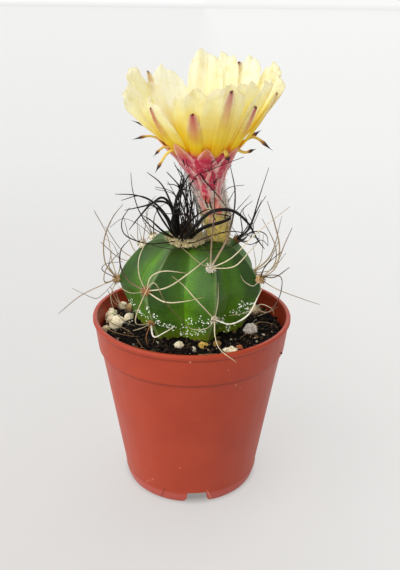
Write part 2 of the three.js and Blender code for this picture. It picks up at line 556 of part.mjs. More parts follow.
// One blade: u runs from its foot to its tip, and v across it from -1 to 1.
function petal([azimuth, tipRadius, tipHeight, width, bow, cup, twist], footRadius, footHeight, rows, cells) {
  const turn = radians(azimuth);
  const wide = cells + 1;
  const face = (offset) => Array.from({ length: (rows + 1) * wide }, (unused, index) => {
    const u = Math.floor(index / wide) / rows;
    const v = (2 * (index % wide)) / cells - 1;
    const lift = bow * Math.sin(Math.PI * u);
    const curl = cup * v * v * Math.sin(Math.PI * Math.min(1, u + 0.1));
    const half = v * width * 0.5 * petalOutline(u);
    const across = half * Math.cos(radians(twist * u));
    const swing = half * Math.sin(radians(twist * u));
    const out = mix(footRadius, tipRadius, u) - lift * 0.5 - curl + (offset + swing) * 0.8;
    const cornerDrop = u === 1 ? Math.abs(v) * 1.2 : 0;
    return [
      bloomCentre.x + out * Math.sin(turn) + across * Math.cos(turn),
      bloomCentre.y - out * Math.cos(turn) + across * Math.sin(turn),
      mix(footHeight, tipHeight, u) + lift * 0.6 - cornerDrop - (offset + swing) * 0.6,
    ];
  });
  const positions = [...face(petalThickness / 2), ...face(-petalThickness / 2)].flat();
  const back = (rows + 1) * wide;
  const faces = [];
  const quad = (a, b, c, d) => faces.push(a, b, c, a, c, d);
  for (let row = 0; row < rows; row += 1) {
    for (let cell = 0; cell < cells; cell += 1) {
      const a = row * wide + cell;
      quad(a, a + 1, a + wide + 1, a + wide);
      faces.push(back + a, back + a + wide + 1, back + a + 1);
      faces.push(back + a, back + a + wide, back + a + wide + 1);
    }
    const left = row * wide;
    const right = left + cells;
    quad(left, left + wide, back + left + wide, back + left);
    quad(right, back + right, back + right + wide, right + wide);
  }
  for (let cell = 0; cell < cells; cell += 1) {
    const last = rows * wide + cell;
    quad(cell, back + cell, back + cell + 1, cell + 1);
    quad(last, last + 1, back + last + 1, back + last);
  }
  return bodyOf(positions, faces);
}

function petals() {
  const footRadius = 11.3;
  const layerGap = 2.4;
  const footHeight = 149;
  const ringProfile = [[10.9, 148.2], [13.2, 148.2], [14, 150.4], [12, 150.8], [10.9, 148.2]];
  const ring = turned(ringProfile, 20).translate(bloomCentre.x, bloomCentre.y, 0);
  // Every other blade stands a little further out, so that neighbours overlap without crossing.
  const blades = innerPetals.map(([azimuth, tipRadius, ...rest], index) => {
    const outer = index % 2;
    const row = [azimuth, tipRadius + layerGap * (outer - 0.5), ...rest];
    return petal(row, footRadius + 1.2 * outer, footHeight, 4, 3);
  });
  const tepals = outerTepals.map((row) => petal(row, footRadius + 2.3, footHeight - 0.1, 4, 2));
  const scales = curledScales.map(([azimuth, reach, rise, tipReach, tipRise]) => {
    const route = [[11.6, 1.6], [13.4, 2.4], [reach, rise], [tipReach, tipRise]].map(([out, up]) => {
      const spot = polar(azimuth, out, bloomCentre.z + up);
      return [spot.x + bloomCentre.x, spot.y + bloomCentre.y, spot.z];
    });
    return spine(route, 0.9, 0.2, 6);
  });
  return largest(join([ring, ...tepals, ...blades, ...scales]));
}

// Stamens: two whorls of filaments on a ring inside the cup, each with its anther.
function stamens() {
  const ringProfile = [[7.3, 143.9], [8.2, 144.6], [7.6, 146], [6.6, 145.2], [7.3, 143.9]];
  const count = 10;
  const centreX = bloomCentre.x + 0.4;
  const ring = turned(ringProfile, 16).translate(centreX, bloomCentre.y, 0);
  const threads = Array.from({ length: count }, (unused, index) => {
    const azimuth = (360 * index) / count;
    const reach = 6.4 + 3.2 * chance(index + 31);
    const top = 156 + 6 * chance(index + 47);
    const route = [[7.3, 144.9], [7.6, 150], [reach, top]].map(([out, z]) => {
      const spot = polar(azimuth, out, z);
      return [spot.x + centreX, spot.y + bloomCentre.y, z];
    });
    const anther = lump(route[2], [0.9, 0.9, 1.1], 0, 0, new THREE.OctahedronGeometry(1));
    return join([spine(route, 0.34, 0.26, 9), anther]);
  });
  return largest(join([ring, ...threads]));
}

// Style: a column from the floor of the cup, with spreading stigma lobes.
function style() {
  const top = [4.4, -2, 161];
  const count = 7;
  const column = spine([[6.4, -2, 132.4], [5.4, -2, 142], [4.6, -2, 152], top], 1, 0.9, 7, 6);
  const lobes = Array.from({ length: count }, (unused, index) => {
    const route = [[0, -1.4], [1.6, 0.6], [3.4, 3.4]].map(([out, rise]) => {
      const spot = polar((360 * index) / count, out, top[2] + rise);
      return [spot.x + top[0], spot.y + top[1], spot.z];
    });
    return spine(route, 0.55, 0.3, 4);
  });
  return largest(join([column, ...lobes]));
}

const grownStem = loft(stemRings(seatGap));
const grownTube = loft(tubeRings(seatGap));
const budOf = (grow) => lump(budCentre, [2.5 + grow, 2.5 + grow, 3.6 + grow], 90, 0.1,
  new THREE.IcosahedronGeometry(1, 1));
const grainSeats = grains.map(([, , lumps], seed) => heap(lumps, seed, seatGap * 1.3));

place('pot', pot(), looks.pot);
place('stem', loft(stemRings()), looks.stem);
place('soil', largest(soil().subtract(join([grownStem, ...grainSeats]))), looks.soil);
place('crown', crown(join([grownStem, grownTube, budOf(seatGap * 2)])), looks.blackSpine);
place('bud', largest(budOf(0).subtract(grownStem)), looks.wool);
areoles.forEach((row) => {
  place(`areole_${row.name}`, largest(areole(row).subtract(grownStem)), looks.spine);
});
place('flower_tube', flowerTube(grownStem), looks.tube);
place('petals', petals(), looks.petal);
place('stamens', stamens(), looks.stamen);
place('style', style(), looks.style);
grains.forEach(([name, look, lumps], seed) => place(name, heap(lumps, seed), looks[look]));

nodes.name = 'goats_horn_cactus';
export default nodes;
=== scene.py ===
import math

import bpy
from mathutils import Matrix, Vector, kdtree, noise
from mathutils.bvhtree import BVHTree


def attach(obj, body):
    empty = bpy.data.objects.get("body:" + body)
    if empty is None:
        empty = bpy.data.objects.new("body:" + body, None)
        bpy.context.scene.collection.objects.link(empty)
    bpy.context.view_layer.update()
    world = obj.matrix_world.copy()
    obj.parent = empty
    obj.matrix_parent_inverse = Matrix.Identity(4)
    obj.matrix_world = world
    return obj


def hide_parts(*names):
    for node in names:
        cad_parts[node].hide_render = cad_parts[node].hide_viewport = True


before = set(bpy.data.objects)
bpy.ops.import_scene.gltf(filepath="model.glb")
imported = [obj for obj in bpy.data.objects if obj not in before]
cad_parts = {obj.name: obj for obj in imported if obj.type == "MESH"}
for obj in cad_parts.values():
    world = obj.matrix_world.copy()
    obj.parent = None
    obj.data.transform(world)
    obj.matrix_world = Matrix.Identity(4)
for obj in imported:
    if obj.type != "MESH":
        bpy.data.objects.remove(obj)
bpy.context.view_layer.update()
mm = 0.001  # the tables below are in millimetres, on the pot's axis, +Z up, -Y to the camera


# small helpers that every piece uses
def chance(seed):  # the same seed always gives the same share between 0 and 1
    wave = math.sin(seed * 12.9898 + 4.1414) * 43758.5453
    return wave - math.floor(wave)


def mix(a, b, share):
    return a + (b - a) * share


def smooth(low, high, value):
    share = min(1, max(0, (value - low) / (high - low)))
    return share * share * (3 - 2 * share)


def polar(azimuth, radius, z=0):  # azimuth 0 is the front, 90 the right
    turn = math.radians(azimuth)
    return Vector((radius * math.sin(turn), -radius * math.cos(turn), z))


def clearSelection():
    if bpy.context.object and bpy.context.object.mode != "OBJECT":
        bpy.ops.object.mode_set(mode="OBJECT")
    bpy.ops.object.select_all(action="DESELECT")


def pick(*objects):
    clearSelection()
    for obj in objects:
        obj.select_set(True)
    bpy.context.view_layer.objects.active = objects[0]
    return objects[0]


def joined(objects):
    pick(*objects)
    if len(objects) > 1:
        bpy.ops.object.join()
    return bpy.context.active_object


def editAll(*steps):  # runs edit-mode operators on the whole active mesh
    bpy.ops.object.mode_set(mode="EDIT")
    bpy.ops.mesh.select_all(action="SELECT")
    for step in steps:
        step()
    bpy.ops.object.mode_set(mode="OBJECT")


def weld(obj, gap=2e-6):
    pick(obj)
    editAll(
        lambda: bpy.ops.mesh.remove_doubles(threshold=gap),
        lambda: bpy.ops.mesh.normals_make_consistent(inside=False),
    )
    return obj


def applied(obj, kind, **settings):
    pick(obj)
    modifier = obj.modifiers.new(kind.lower(), kind)
    for key, value in settings.items():
        setattr(modifier, key, value)
    bpy.ops.object.modifier_apply(modifier=modifier.name)
    return obj


def shaded(obj, crease=None):  # smooth, but for edges sharper than the crease in degrees
    pick(obj)
    if crease:
        bpy.ops.object.shade_smooth_by_angle(angle=math.radians(crease))
    else:
        bpy.ops.object.shade_smooth()
    return obj


def camel(node):  # areole_rib1_mid becomes areoleRib1Mid
    first, *rest = node.split("_")
    return first + "".join(part.capitalize() for part in rest)


def finishPiece(obj, name, material, slotName, *nodes):
    pick(obj)
    bpy.ops.object.transform_apply(location=True, rotation=True, scale=True)
    obj.name = obj.data.name = name
    if material:
        obj.data.materials.clear()
        obj.data.materials.append(material)
    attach(obj, "root")
    if nodes:
        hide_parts(*nodes)
    print("made", name, len(obj.data.polygons), "faces")
    return obj


def wrappedGrid(across, along, shape):  # a flat grid whose points are moved by shape(u, v), in mm
    clearSelection()
    bpy.ops.mesh.primitive_grid_add(x_subdivisions=across, y_subdivisions=along, size=2)
    obj = bpy.context.active_object
    for vertex in obj.data.vertices:
        vertex.co = Vector(shape((vertex.co.x + 1) / 2, (vertex.co.y + 1) / 2)) * mm
    return obj


def roundRing(middle, radius, thickness, around, sides):
    clearSelection()
    bpy.ops.mesh.primitive_torus_add(
        major_radius=radius * mm, minor_radius=thickness * mm, major_segments=around, minor_segments=sides,
        location=[c * mm for c in middle])
    ring = bpy.context.active_object
    bpy.ops.object.transform_apply(location=True, rotation=False, scale=False)
    return shaded(ring)


def setTints(obj, colours):  # a colour for each point
    layer = obj.data.attributes.new("tint", "FLOAT_COLOR", "POINT")
    for point, colour in zip(layer.data, colours):
        point.color = (*colour, 1)


def setTint(obj, colourOf):  # a colour for each point, from its place in mm
    setTints(obj, [colourOf(vertex.co / mm) for vertex in obj.data.vertices])


def setShares(obj, name, shares):  # a number for each point
    layer = obj.data.attributes.new(name, "FLOAT", "POINT")
    for point, share in zip(layer.data, shares):
        point.value = share


def along(route, count):  # count points spaced evenly on a smooth curve through the route
    points = [Vector(p) for p in route]
    points = [points[0] * 2 - points[1], *points, points[-1] * 2 - points[-2]]
    fine, steps = [], 12
    for a, b, c, d in zip(points, points[1:], points[2:], points[3:]):
        knots = [0]
        for near, far in ((a, b), (b, c), (c, d)):
            knots.append(knots[-1] + max(1e-4, (far - near).length ** 0.5))
        for step in range(steps):
            t = mix(knots[1], knots[2], step / steps)
            between = [a, b, c, d]
            for order in (1, 2, 3):  # each round leaves one point fewer, until one is left
                last = order == 3
                spans = [(knots[i + last], knots[i + order - last]) for i in range(4 - order)]
                between = [between[i].lerp(between[i + 1], (t - low) / (high - low))
                           for i, (low, high) in enumerate(spans)]
            fine.append(between[0])
    fine.append(points[-2])
    lengths = [0]
    for near, far in zip(fine, fine[1:]):
        lengths.append(lengths[-1] + (far - near).length)
    spaced, at = [], 0
    for index in range(count):
        goal = lengths[-1] * index / (count - 1)
        while at < len(fine) - 2 and lengths[at + 1] < goal:
            at += 1
        share = (goal - lengths[at]) / max(1e-9, lengths[at + 1] - lengths[at])
        spaced.append(fine[at].lerp(fine[at + 1], min(1, max(0, share))))
    return spaced


def rods(name, strands, sides=6, flat=1.0):  # strands: (points in mm, radii in mm, twist over the length)
    clearSelection()
    section = bpy.data.curves.new("section", "CURVE")
    section.dimensions = "2D"
    ring = section.splines.new("POLY")
    ring.points.add(sides - 1)
    ring.use_cyclic_u = True
    for side, point in enumerate(ring.points):
        turn = 2 * math.pi * side / sides
        point.co = (math.cos(turn) * mm, math.sin(turn) * flat * mm, 0, 1)
    sectionObject = bpy.data.objects.new("section", section)
    bpy.context.collection.objects.link(sectionObject)
    curve = bpy.data.curves.new(name, "CURVE")
    curve.dimensions = "3D"
    curve.bevel_mode = "OBJECT"
    curve.bevel_object = sectionObject
    curve.use_fill_caps = True
    for points, radii, twist in strands:
        spline = curve.splines.new("POLY")
        spline.points.add(len(points) - 1)
        for index, point in enumerate(spline.points):
            point.co = (*(Vector(points[index]) * mm), 1)
            point.radius = radii[index]
            point.tilt = twist * index / (len(points) - 1)
    obj = bpy.data.objects.new(name, curve)
    bpy.context.collection.objects.link(obj)
    pick(obj)
    bpy.ops.object.convert(target="MESH")
    obj = bpy.context.active_object
    bpy.data.objects.remove(sectionObject)
    return weld(obj)


# a material's colours and nodes
def rgb(red, green, blue):  # a screen colour from 0 to 255 as the linear colour that Blender works in
    return tuple(mix(c / 255 / 12.92, ((c / 255 + 0.055) / 1.055) ** 2.4, c > 10) for c in (red, green, blue))


class Shader:  # a material's tree, with short calls for the nodes used here
    def __init__(self, name, roughness=0.5):
        self.material = bpy.data.materials.new(name)
        self.material.use_nodes = True
        self.tree = self.material.node_tree
        self.surface = self.tree.nodes["Principled BSDF"]
        self.surface.inputs["Roughness"].default_value = roughness

    def node(self, kind, **settings):
        made = self.tree.nodes.new("ShaderNode" + kind)
        for key, value in settings.items():
            setattr(made, key, value)
        return made

    def link(self, source, target):
        self.tree.links.new(source, target)
        return self

    def place(self):
        return self.node("TexCoord").outputs["Object"]

    def attribute(self, name, output="Fac"):
        return self.node("Attribute", attribute_name=name).outputs[output]

    def uv(self):
        parts = self.node("SeparateXYZ")
        self.link(self.node("TexCoord").outputs["UV"], parts.inputs[0])
        return parts.outputs[0], parts.outputs[1]

    def uvPlace(self):
        return self.node("TexCoord").outputs["UV"]

    def axis(self, vector, which):
        parts = self.node("SeparateXYZ")
        self.link(vector, parts.inputs[0])
        return parts.outputs[which]

    def stretched(self, vector, scale):
        mapping = self.node("Mapping")
        self.link(vector, mapping.inputs["Vector"])
        mapping.inputs["Scale"].default_value = scale
        return mapping.outputs[0]

    def noise(self, vector, scale, detail=3, roughness=0.55):
        made = self.node("TexNoise")
        self.link(vector, made.inputs["Vector"])
        made.inputs["Scale"].default_value = scale
        made.inputs["Detail"].default_value = detail
        made.inputs["Roughness"].default_value = roughness
        return made.outputs["Fac"]

    def cells(self, vector, scale, feature="F1", output="Distance"):
        made = self.node("TexVoronoi", feature=feature)
        self.link(vector, made.inputs["Vector"])
        made.inputs["Scale"].default_value = scale
        return made.outputs[output]

    def ranged(self, value, low, high, newLow=0, newHigh=1):
        made = self.node("MapRange")
        self.link(value, made.inputs["Value"])
        for key, number in zip(("From Min", "From Max", "To Min", "To Max"), (low, high, newLow, newHigh)):
            made.inputs[key].default_value = number
        return made.outputs[0]

    def maths(self, operation, first, second=0):
        made = self.node("Math", operation=operation)
        for index, value in enumerate((first, second)):
            if isinstance(value, (int, float)):
                made.inputs[index].default_value = value
            else:
                self.link(value, made.inputs[index])
        return made.outputs[0]

    def times(self, first, *others):
        for other in others:
            first = self.maths("MULTIPLY", first, other)
        return first

    def offBy(self, value, middle):  # how far a value is from the middle
        return self.maths("ABSOLUTE", self.maths("SUBTRACT", value, middle))

    def away(self, vector, middle=(0, 0, 0)):  # how far a place is from the middle, which is in mm
        made = self.node("VectorMath", operation="DISTANCE")
        self.link(vector, made.inputs[0])
        made.inputs[1].default_value = [c * mm for c in middle]
        return made.outputs["Value"]

    def ramp(self, value, *stops):
        made = self.node("ValToRGB")
        self.link(value, made.inputs[0])
        elements = made.color_ramp.elements
        while len(elements) < len(stops):
            elements.new(0.5)
        for element, (position, colour) in zip(elements, stops):
            element.position = position
            element.color = (*colour, 1)
        return made.outputs[0]

    def blend(self, share, first, second, way="MIX"):
        made = self.node("Mix", data_type="RGBA", blend_type=way)
        for name, value in (("Factor", share), ("A", first), ("B", second)):
            socket = [s for s in made.inputs if s.name == name and s.enabled][0]
            if isinstance(value, tuple):
                socket.default_value = (*value, 1)
            elif isinstance(value, (int, float)):
                socket.default_value = value
            else:
                self.link(value, socket)
        return [s for s in made.outputs if s.enabled][0]

    def colour(self, source):
        return self.link(source, self.surface.inputs["Base Color"])

    def rough(self, source):
        return self.link(source, self.surface.inputs["Roughness"])

    def bump(self, height, strength, distance):
        made = self.node("Bump")
        made.inputs["Strength"].default_value = strength
        made.inputs["Distance"].default_value = distance
        self.link(height, made.inputs["Height"])
        return self.link(made.outputs[0], self.surface.inputs["Normal"])

    def set(self, **values):
        for key, value in values.items():
            self.surface.inputs[key.replace("_", " ")].default_value = value
        return self


# the camera stands where the photograph was taken from
cameraView = {
    "place": (0.00336, -0.2766, 0.2024),
    "pitchDown": 22.03,
    "roll": 0.70,
    "lens": 44.2,
}


def addCamera():
    clearSelection()
    bpy.ops.object.camera_add(location=cameraView["place"])
    camera = bpy.context.active_object
    tilt = Matrix.Rotation(math.radians(90 - cameraView["pitchDown"]), 4, "X")
    roll = Matrix.Rotation(math.radians(cameraView["roll"]), 4, "Z")
    camera.matrix_world = Matrix.Translation(cameraView["place"]) @ tilt @ roll
    camera.data.lens = cameraView["lens"]
    camera.data.clip_start = 0.01
    bpy.context.scene.camera = camera
    print("placed the camera")


studio = {  # in metres
    "suns": {  # where each sun stands, its strength and how wide it looks
        "key": ((-0.95, -0.7, 0.85), 1.98, 70),
        "rear": ((0.0, 0.8, 1.0), 1.5, 100),
    },
    "world": 0.51, "worldColour": (1.0, 0.995, 0.985, 1),
    "floorSize": (40, 26), "floorMiddle": 11.6, "sweepRadius": 0.5, "wallHeight": 2,
    "paperShine": 0.81, "paperShare": 0.3,  # how much the paper glows by itself, and how much it reflects
}


def addLights():
    for name, (place, strength, width) in studio["suns"].items():
        clearSelection()
        bpy.ops.object.light_add(type="SUN", location=place)
        light = bpy.context.active_object
        light.name = name
        light.data.energy = strength
        light.data.angle = math.radians(width)
        light.rotation_euler = (-Vector(place)).to_track_quat("-Z", "Y").to_euler()
    world = bpy.data.worlds.new("studio")
    bpy.context.scene.world = world
    world.use_nodes = True
    background = world.node_tree.nodes["Background"].inputs
    background["Color"].default_value = studio["worldColour"]
    background["Strength"].default_value = studio["world"]
    bpy.context.scene.view_settings.view_transform = "Standard"
    print("lit the scene with", len(studio["suns"]), "suns and an even sky")


def paperSheet():  # a light table, so shadows stay faint
    made = Shader("studioPaper", 0.75)
    place = made.place()
    # painted light: the paper gets lighter towards the back and up the wall, as the light falls off
    near = made.ranged(made.axis(place, 1), -0.12, 0.7)
    base = made.ramp(near, (0.0, rgb(206, 204, 202)), (0.3, rgb(206, 205, 203)), (1.0, rgb(212, 212, 211)))
    base = made.blend(made.ranged(made.axis(place, 2), 0.0, 0.2), base, rgb(240, 240, 240))
    base = made.blend(made.ranged(made.noise(place, 40, 2), 0.4, 0.6, 0, 0.03), base, rgb(190, 188, 186))
    # painted light: the paper gets lighter towards the right
    base = made.blend(made.ranged(made.axis(place, 0), -0.05, 0.12, 0, 0.35), base, rgb(226, 226, 224))
    # painted shadow: the paper darkens under and round the pot's foot
    paintedPotShadow = made.ranged(made.away(place), 0.031, 0.026, 0, 0.6)
    base = made.blend(paintedPotShadow, base, rgb(96, 90, 84))
    made.colour(made.blend(1.0, base, (studio["paperShare"],) * 3, "MULTIPLY"))
    made.link(base, made.surface.inputs["Emission Color"]).set(Emission_Strength=studio["paperShine"])
    return made.material


def addFloor():
    clearSelection()
    bpy.ops.mesh.primitive_plane_add(size=1, location=(0, 0, 0))
    floor = bpy.context.active_object
    floor.scale = (*studio["floorSize"], 1)
    floor.location = (0, studio["floorMiddle"], 0)
    bpy.ops.object.transform_apply(location=True, rotation=False, scale=True)
    bpy.ops.object.mode_set(mode="EDIT")
    bpy.ops.mesh.select_all(action="DESELECT")
    bpy.ops.object.mode_set(mode="OBJECT")
    far = max(vertex.co.y for vertex in floor.data.vertices)
    for edge in floor.data.edges:
        edge.select = all(floor.data.vertices[i].co.y > far - 0.01 for i in edge.vertices)
    bpy.ops.object.mode_set(mode="EDIT")
    bpy.ops.mesh.select_mode(type="EDGE")
    bpy.ops.mesh.spin(steps=20, angle=-math.pi / 2, center=(0, far, studio["sweepRadius"]), axis=(1, 0, 0))
    bpy.ops.mesh.extrude_region_move(TRANSFORM_OT_translate={"value": (0, 0, studio["wallHeight"])})
    shaded(floor)
    floor.name = "studioFloor"
    floor.data.materials.append(paperSheet())
    print("laid the floor")


plastic = {  # in mm
    "grooveShadows": ((75.8, 0.7, 0.2), (63.6, 1, 0.3)),  # height, and how far off the line is gone and full; painted shade in the bead groove and at the collar step
    "scratches": ((-12.8, 0.3, (96, 30, 18)), (9.8, -0.35, (222, 138, 112))),  # foot, lean and colour
    "specks": (  # middle, radius and strength of each small spot
        ((-18.8, -23.7, 6.8), 0.5, 0.5), ((-17.5, -25, 8.2), 0.45, 0.5), ((-16.1, -26.2, 9.8), 0.5, 0.5),
        ((-4.2, -32.1, 20.2), 0.4, 0.45), ((0, -41.5, 75.8), 0.6, 0.7), ((18, -34.6, 62), 0.5, 0.5),
        ((29, -26.5, 63.5), 0.35, 0.5), ((14.7, -38.4, 70.8), 0.35, 0.4), ((19.9, -33.2, 59.8), 0.4, 0.35),
    ),
}


def potPlastic():  # heights and distances within the materials are in metres
    made = Shader("potPlastic", 0.42)
    place = made.place()
    side, height = made.axis(place, 0), made.axis(place, 2)
    cloud = made.noise(place, 55, 4)
    streak = made.noise(made.stretched(place, (260, 260, 14)), 1, 3)
    base = made.ramp(cloud, (0.3, rgb(167, 57, 32)), (0.7, rgb(178, 65, 37)))
    worn = made.ranged(made.noise(place, 900, 2), 0.68, 0.8)
    base = made.blend(made.times(worn, 0.2), base, rgb(216, 118, 90))
    # painted shade: dark lines in the bead groove and at the collar step
    grooveShadows = [made.ranged(made.offBy(height, line * mm), wide * mm, narrow * mm)
               for line, wide, narrow in plastic["grooveShadows"]]
    base = made.blend(made.times(made.maths("ADD", *grooveShadows), 0.3), base, rgb(84, 22, 12))
    paintedThroughLight = made.ranged(height, 0.0056, 0.0046)  # painted light: the thin foot ring is painted lighter, as if light came through it
    base = made.blend(made.times(paintedThroughLight, 0.5), base, rgb(190, 92, 84))
    inFront = made.ranged(made.axis(place, 1), -0.02, -0.024)
    frontFoot = made.times(made.ranged(height, 0.0068, 0.0062), inFront)
    for foot, lean, colour in plastic["scratches"]:
        slanted = made.maths("SUBTRACT", side, made.times(height, lean))
        line = made.ranged(made.offBy(slanted, foot * mm), 0.00034, 0.0001)
        base = made.blend(made.times(line, frontFoot, 0.75), base, rgb(*colour))
    for middle, radius, strength in plastic["specks"]:
        spot = made.ranged(made.away(place, middle), radius * mm, radius * mm * 0.3, 0, strength)
        base = made.blend(spot, base, rgb(238, 176, 150))
    made.colour(base)
    made.rough(made.ranged(made.maths("ADD", cloud, streak), 0.7, 1.3, 0.36, 0.5))
    made.bump(made.maths("ADD", made.noise(place, 700, 3), made.times(streak, 0.5)), 0.12, 0.0002)
    return made.set(Specular_IOR_Level=0.3).material


def soilMix():
    made = Shader("soilMix", 0.95)
    place = made.place()
    crumb = made.noise(place, 900, 5, 0.7)
    bit = made.axis(made.cells(place, 620, output="Color"), 0)
    base = made.ramp(crumb, (0.35, rgb(6, 4, 3)), (0.55, rgb(20, 13, 9)), (0.75, rgb(56, 39, 27)))
    made.colour(made.blend(made.times(made.ranged(bit, 0.93, 0.97), 0.7), base, rgb(150, 120, 84)))
    made.bump(crumb, 0.9, 0.0012)
    return made.set(Specular_IOR_Level=0.2).material


def grainStone(name, dark, light, dust):
    made = Shader(name, 0.88)
    place = made.place()
    cloud = made.noise(place, 420, 4, 0.6)
    pores = made.cells(place, 1500)
    base = made.ramp(cloud, (0.3, dark), (0.62, light))
    base = made.blend(made.times(made.ranged(pores, 0.0, 0.25, 1, 0), 0.5), base, dust)
    dusty = made.ranged(made.noise(place, 160, 3), 0.5, 0.72)
    base = made.blend(made.times(dusty, 0.45), base, dust)
    made.colour(base)
    # painted light: each grain glows faintly in its own colour, so it stays bright in the plant's shade
    made.link(base, made.surface.inputs["Emission Color"])
    made.bump(made.maths("ADD", cloud, pores), 0.7, 0.0006)
    made.set(Specular_IOR_Level=0.3, Emission_Strength=0.14)
    return made.set(Subsurface_Weight=0.1, Subsurface_Radius=(0.001, 0.0008, 0.0006)).material


def cactusSkin():  # valley runs from 0 on a rib's ridge to 1 between two ribs
    made = Shader("cactusSkin", 0.42)
    place = made.place()
    height = made.axis(place, 2)
    valley, turned, dull = made.attribute("valley"), made.attribute("turned"), made.attribute("dull")
    mottled = made.noise(place, 130, 5, 0.6)
    body = made.ramp(mottled, (0.3, rgb(52, 92, 20)), (0.55, rgb(70, 116, 28)), (0.8, rgb(90, 138, 38)))
    # painted shade: the faces at the right of each ridge take these darker greens, less of them low down
    shade = made.ramp(mottled, (0.3, rgb(26, 52, 12)), (0.7, rgb(40, 70, 18)))
    body = made.blend(made.times(turned, made.ranged(height, 0.083, 0.096, 0.12, 0.62)), body, shade)
    dullestAndShade = made.ranged(dull, 0.4, 0.65)
    sunlit = made.times(made.ranged(valley, 0.15, 0.55), made.ranged(height, 0.088, 0.098))
    sunlit = made.times(sunlit, dullestAndShade, made.ranged(turned, 0.6, 1, 0, 0.8))
    body = made.blend(sunlit, body, rgb(74, 116, 0))
    unturned = made.ranged(turned, 1.0, 0.0)
    # painted shade: beside the dull valleys, the faces at the left of a ridge are darkened
    deep = made.times(dullestAndShade, 0.7, unturned, made.ranged(height, 0.086, 0.094))
    body = made.blend(deep, body, rgb(30, 56, 12))
    lime = made.ramp(mottled, (0.3, rgb(88, 148, 4)), (0.7, rgb(106, 166, 10)))
    inValley = made.times(made.ranged(valley, 0.5, 0.95), made.ranged(turned, 1.0, 0.0, 0.35, 0.95))
    spread = made.times(made.ranged(valley, 0.12, 0.5), made.ranged(height, 0.097, 0.105, 0, 0.9))
    inValley = made.maths("MAXIMUM", inValley, made.times(spread, unturned, made.attribute("wide")))
    skin = made.blend(inValley, body, lime)
    skin = made.blend(made.times(inValley, made.times(dull, unturned)), skin, body)
    washes = (  # where, how strongly and in which colour
        (made.ranged(valley, 0.93, 1.0), 0.55, (52, 88, 12)),  # painted shade in the crease between two ribs
        (made.ranged(valley, 0.075, 0.01), 0.62, (142, 166, 104)),  # the ridge
        (made.ranged(height, 0.08, 0.073), 0.8, (124, 146, 22)),  # the young foot
        (made.ranged(height, 0.104, 0.111), 0.6, (56, 80, 12)),  # painted shade under the crown
    )
    for where, strength, colour in washes:
        skin = made.blend(made.times(where, strength), skin, rgb(*colour))
    grain = made.ranged(made.noise(place, 1500, 2, 0.7), 0.35, 0.65, 0, 0.35)
    skin = made.blend(grain, skin, rgb(30, 58, 22))
    dots = made.ranged(made.cells(place, 1500), 0.09, 0.05)
    dust = made.times(dots, made.ranged(made.noise(place, 90, 2), 0.52, 0.7))
    skin = made.blend(made.times(dust, 0.35), skin, rgb(190, 200, 170))
    # painted light: the low stem is brightened, up to about twice, fading out by 95 mm
    lift = made.ramp(made.ranged(height, 0.08, 0.095), (0.0, (1.85, 1.6, 2.0)), (1.0, (1, 1, 1)))
    made.colour(made.blend(1.0, skin, lift, "MULTIPLY"))
    lines = made.noise(made.stretched(place, (90, 90, 1200)), 1, 3)
    made.bump(made.maths("ADD", made.noise(place, 500, 3), made.times(lines, 0.6)), 0.22, 0.0004)
    made.rough(made.ranged(mottled, 0.3, 0.7, 0.42, 0.56))
    return made.set(Specular_IOR_Level=0.35).material


def tinted(name, roughness, relief=0.0, **values):  # takes its colour from each point's tint
    made = Shader(name, roughness)
    fine = made.noise(made.place(), 1400, 3, 0.6)
    shade = made.ramp(fine, (0.3, (0.8, 0.8, 0.8)), (0.7, (1.15, 1.14, 1.12)))
    made.colour(made.blend(1.0, made.attribute("tint", "Color"), shade, "MULTIPLY"))
    if relief:
        made.bump(fine, 0.3, relief)
    return made.set(Specular_IOR_Level=0.35).set(**values).material


def feltWool():
    made = Shader("feltWool", 0.95)
    place = made.place()
    fibre = made.noise(made.stretched(place, (900, 900, 420)), 1, 5, 0.7)
    shade = made.ramp(fibre, (0.32, (0.7, 0.64, 0.54)), (0.55, (1.15, 1.13, 1.08)), (0.75, (1.5, 1.5, 1.45)))
    base = made.blend(1.0, made.attribute("tint", "Color"), shade, "MULTIPLY")
    patch = made.ranged(made.noise(place, 300, 3), 0.6, 0.8, 0, 0.3)
    made.colour(made.blend(patch, base, rgb(120, 86, 46)))
    made.bump(fibre, 0.6, 0.0004)
    return made.set(Specular_IOR_Level=0.15, Sheen_Weight=0.3).material


petalTones = (  # from the foot of a petal to its tip
    (0.0, rgb(222, 92, 84)), (0.04, rgb(240, 174, 88)), (0.09, rgb(244, 206, 52)), (0.2, rgb(246, 221, 18)),
    (0.36, rgb(245, 228, 32)), (0.5, rgb(243, 224, 58)), (0.64, rgb(245, 232, 114)),
    (0.8, rgb(248, 243, 184)), (1.0, rgb(248, 243, 214)),
)


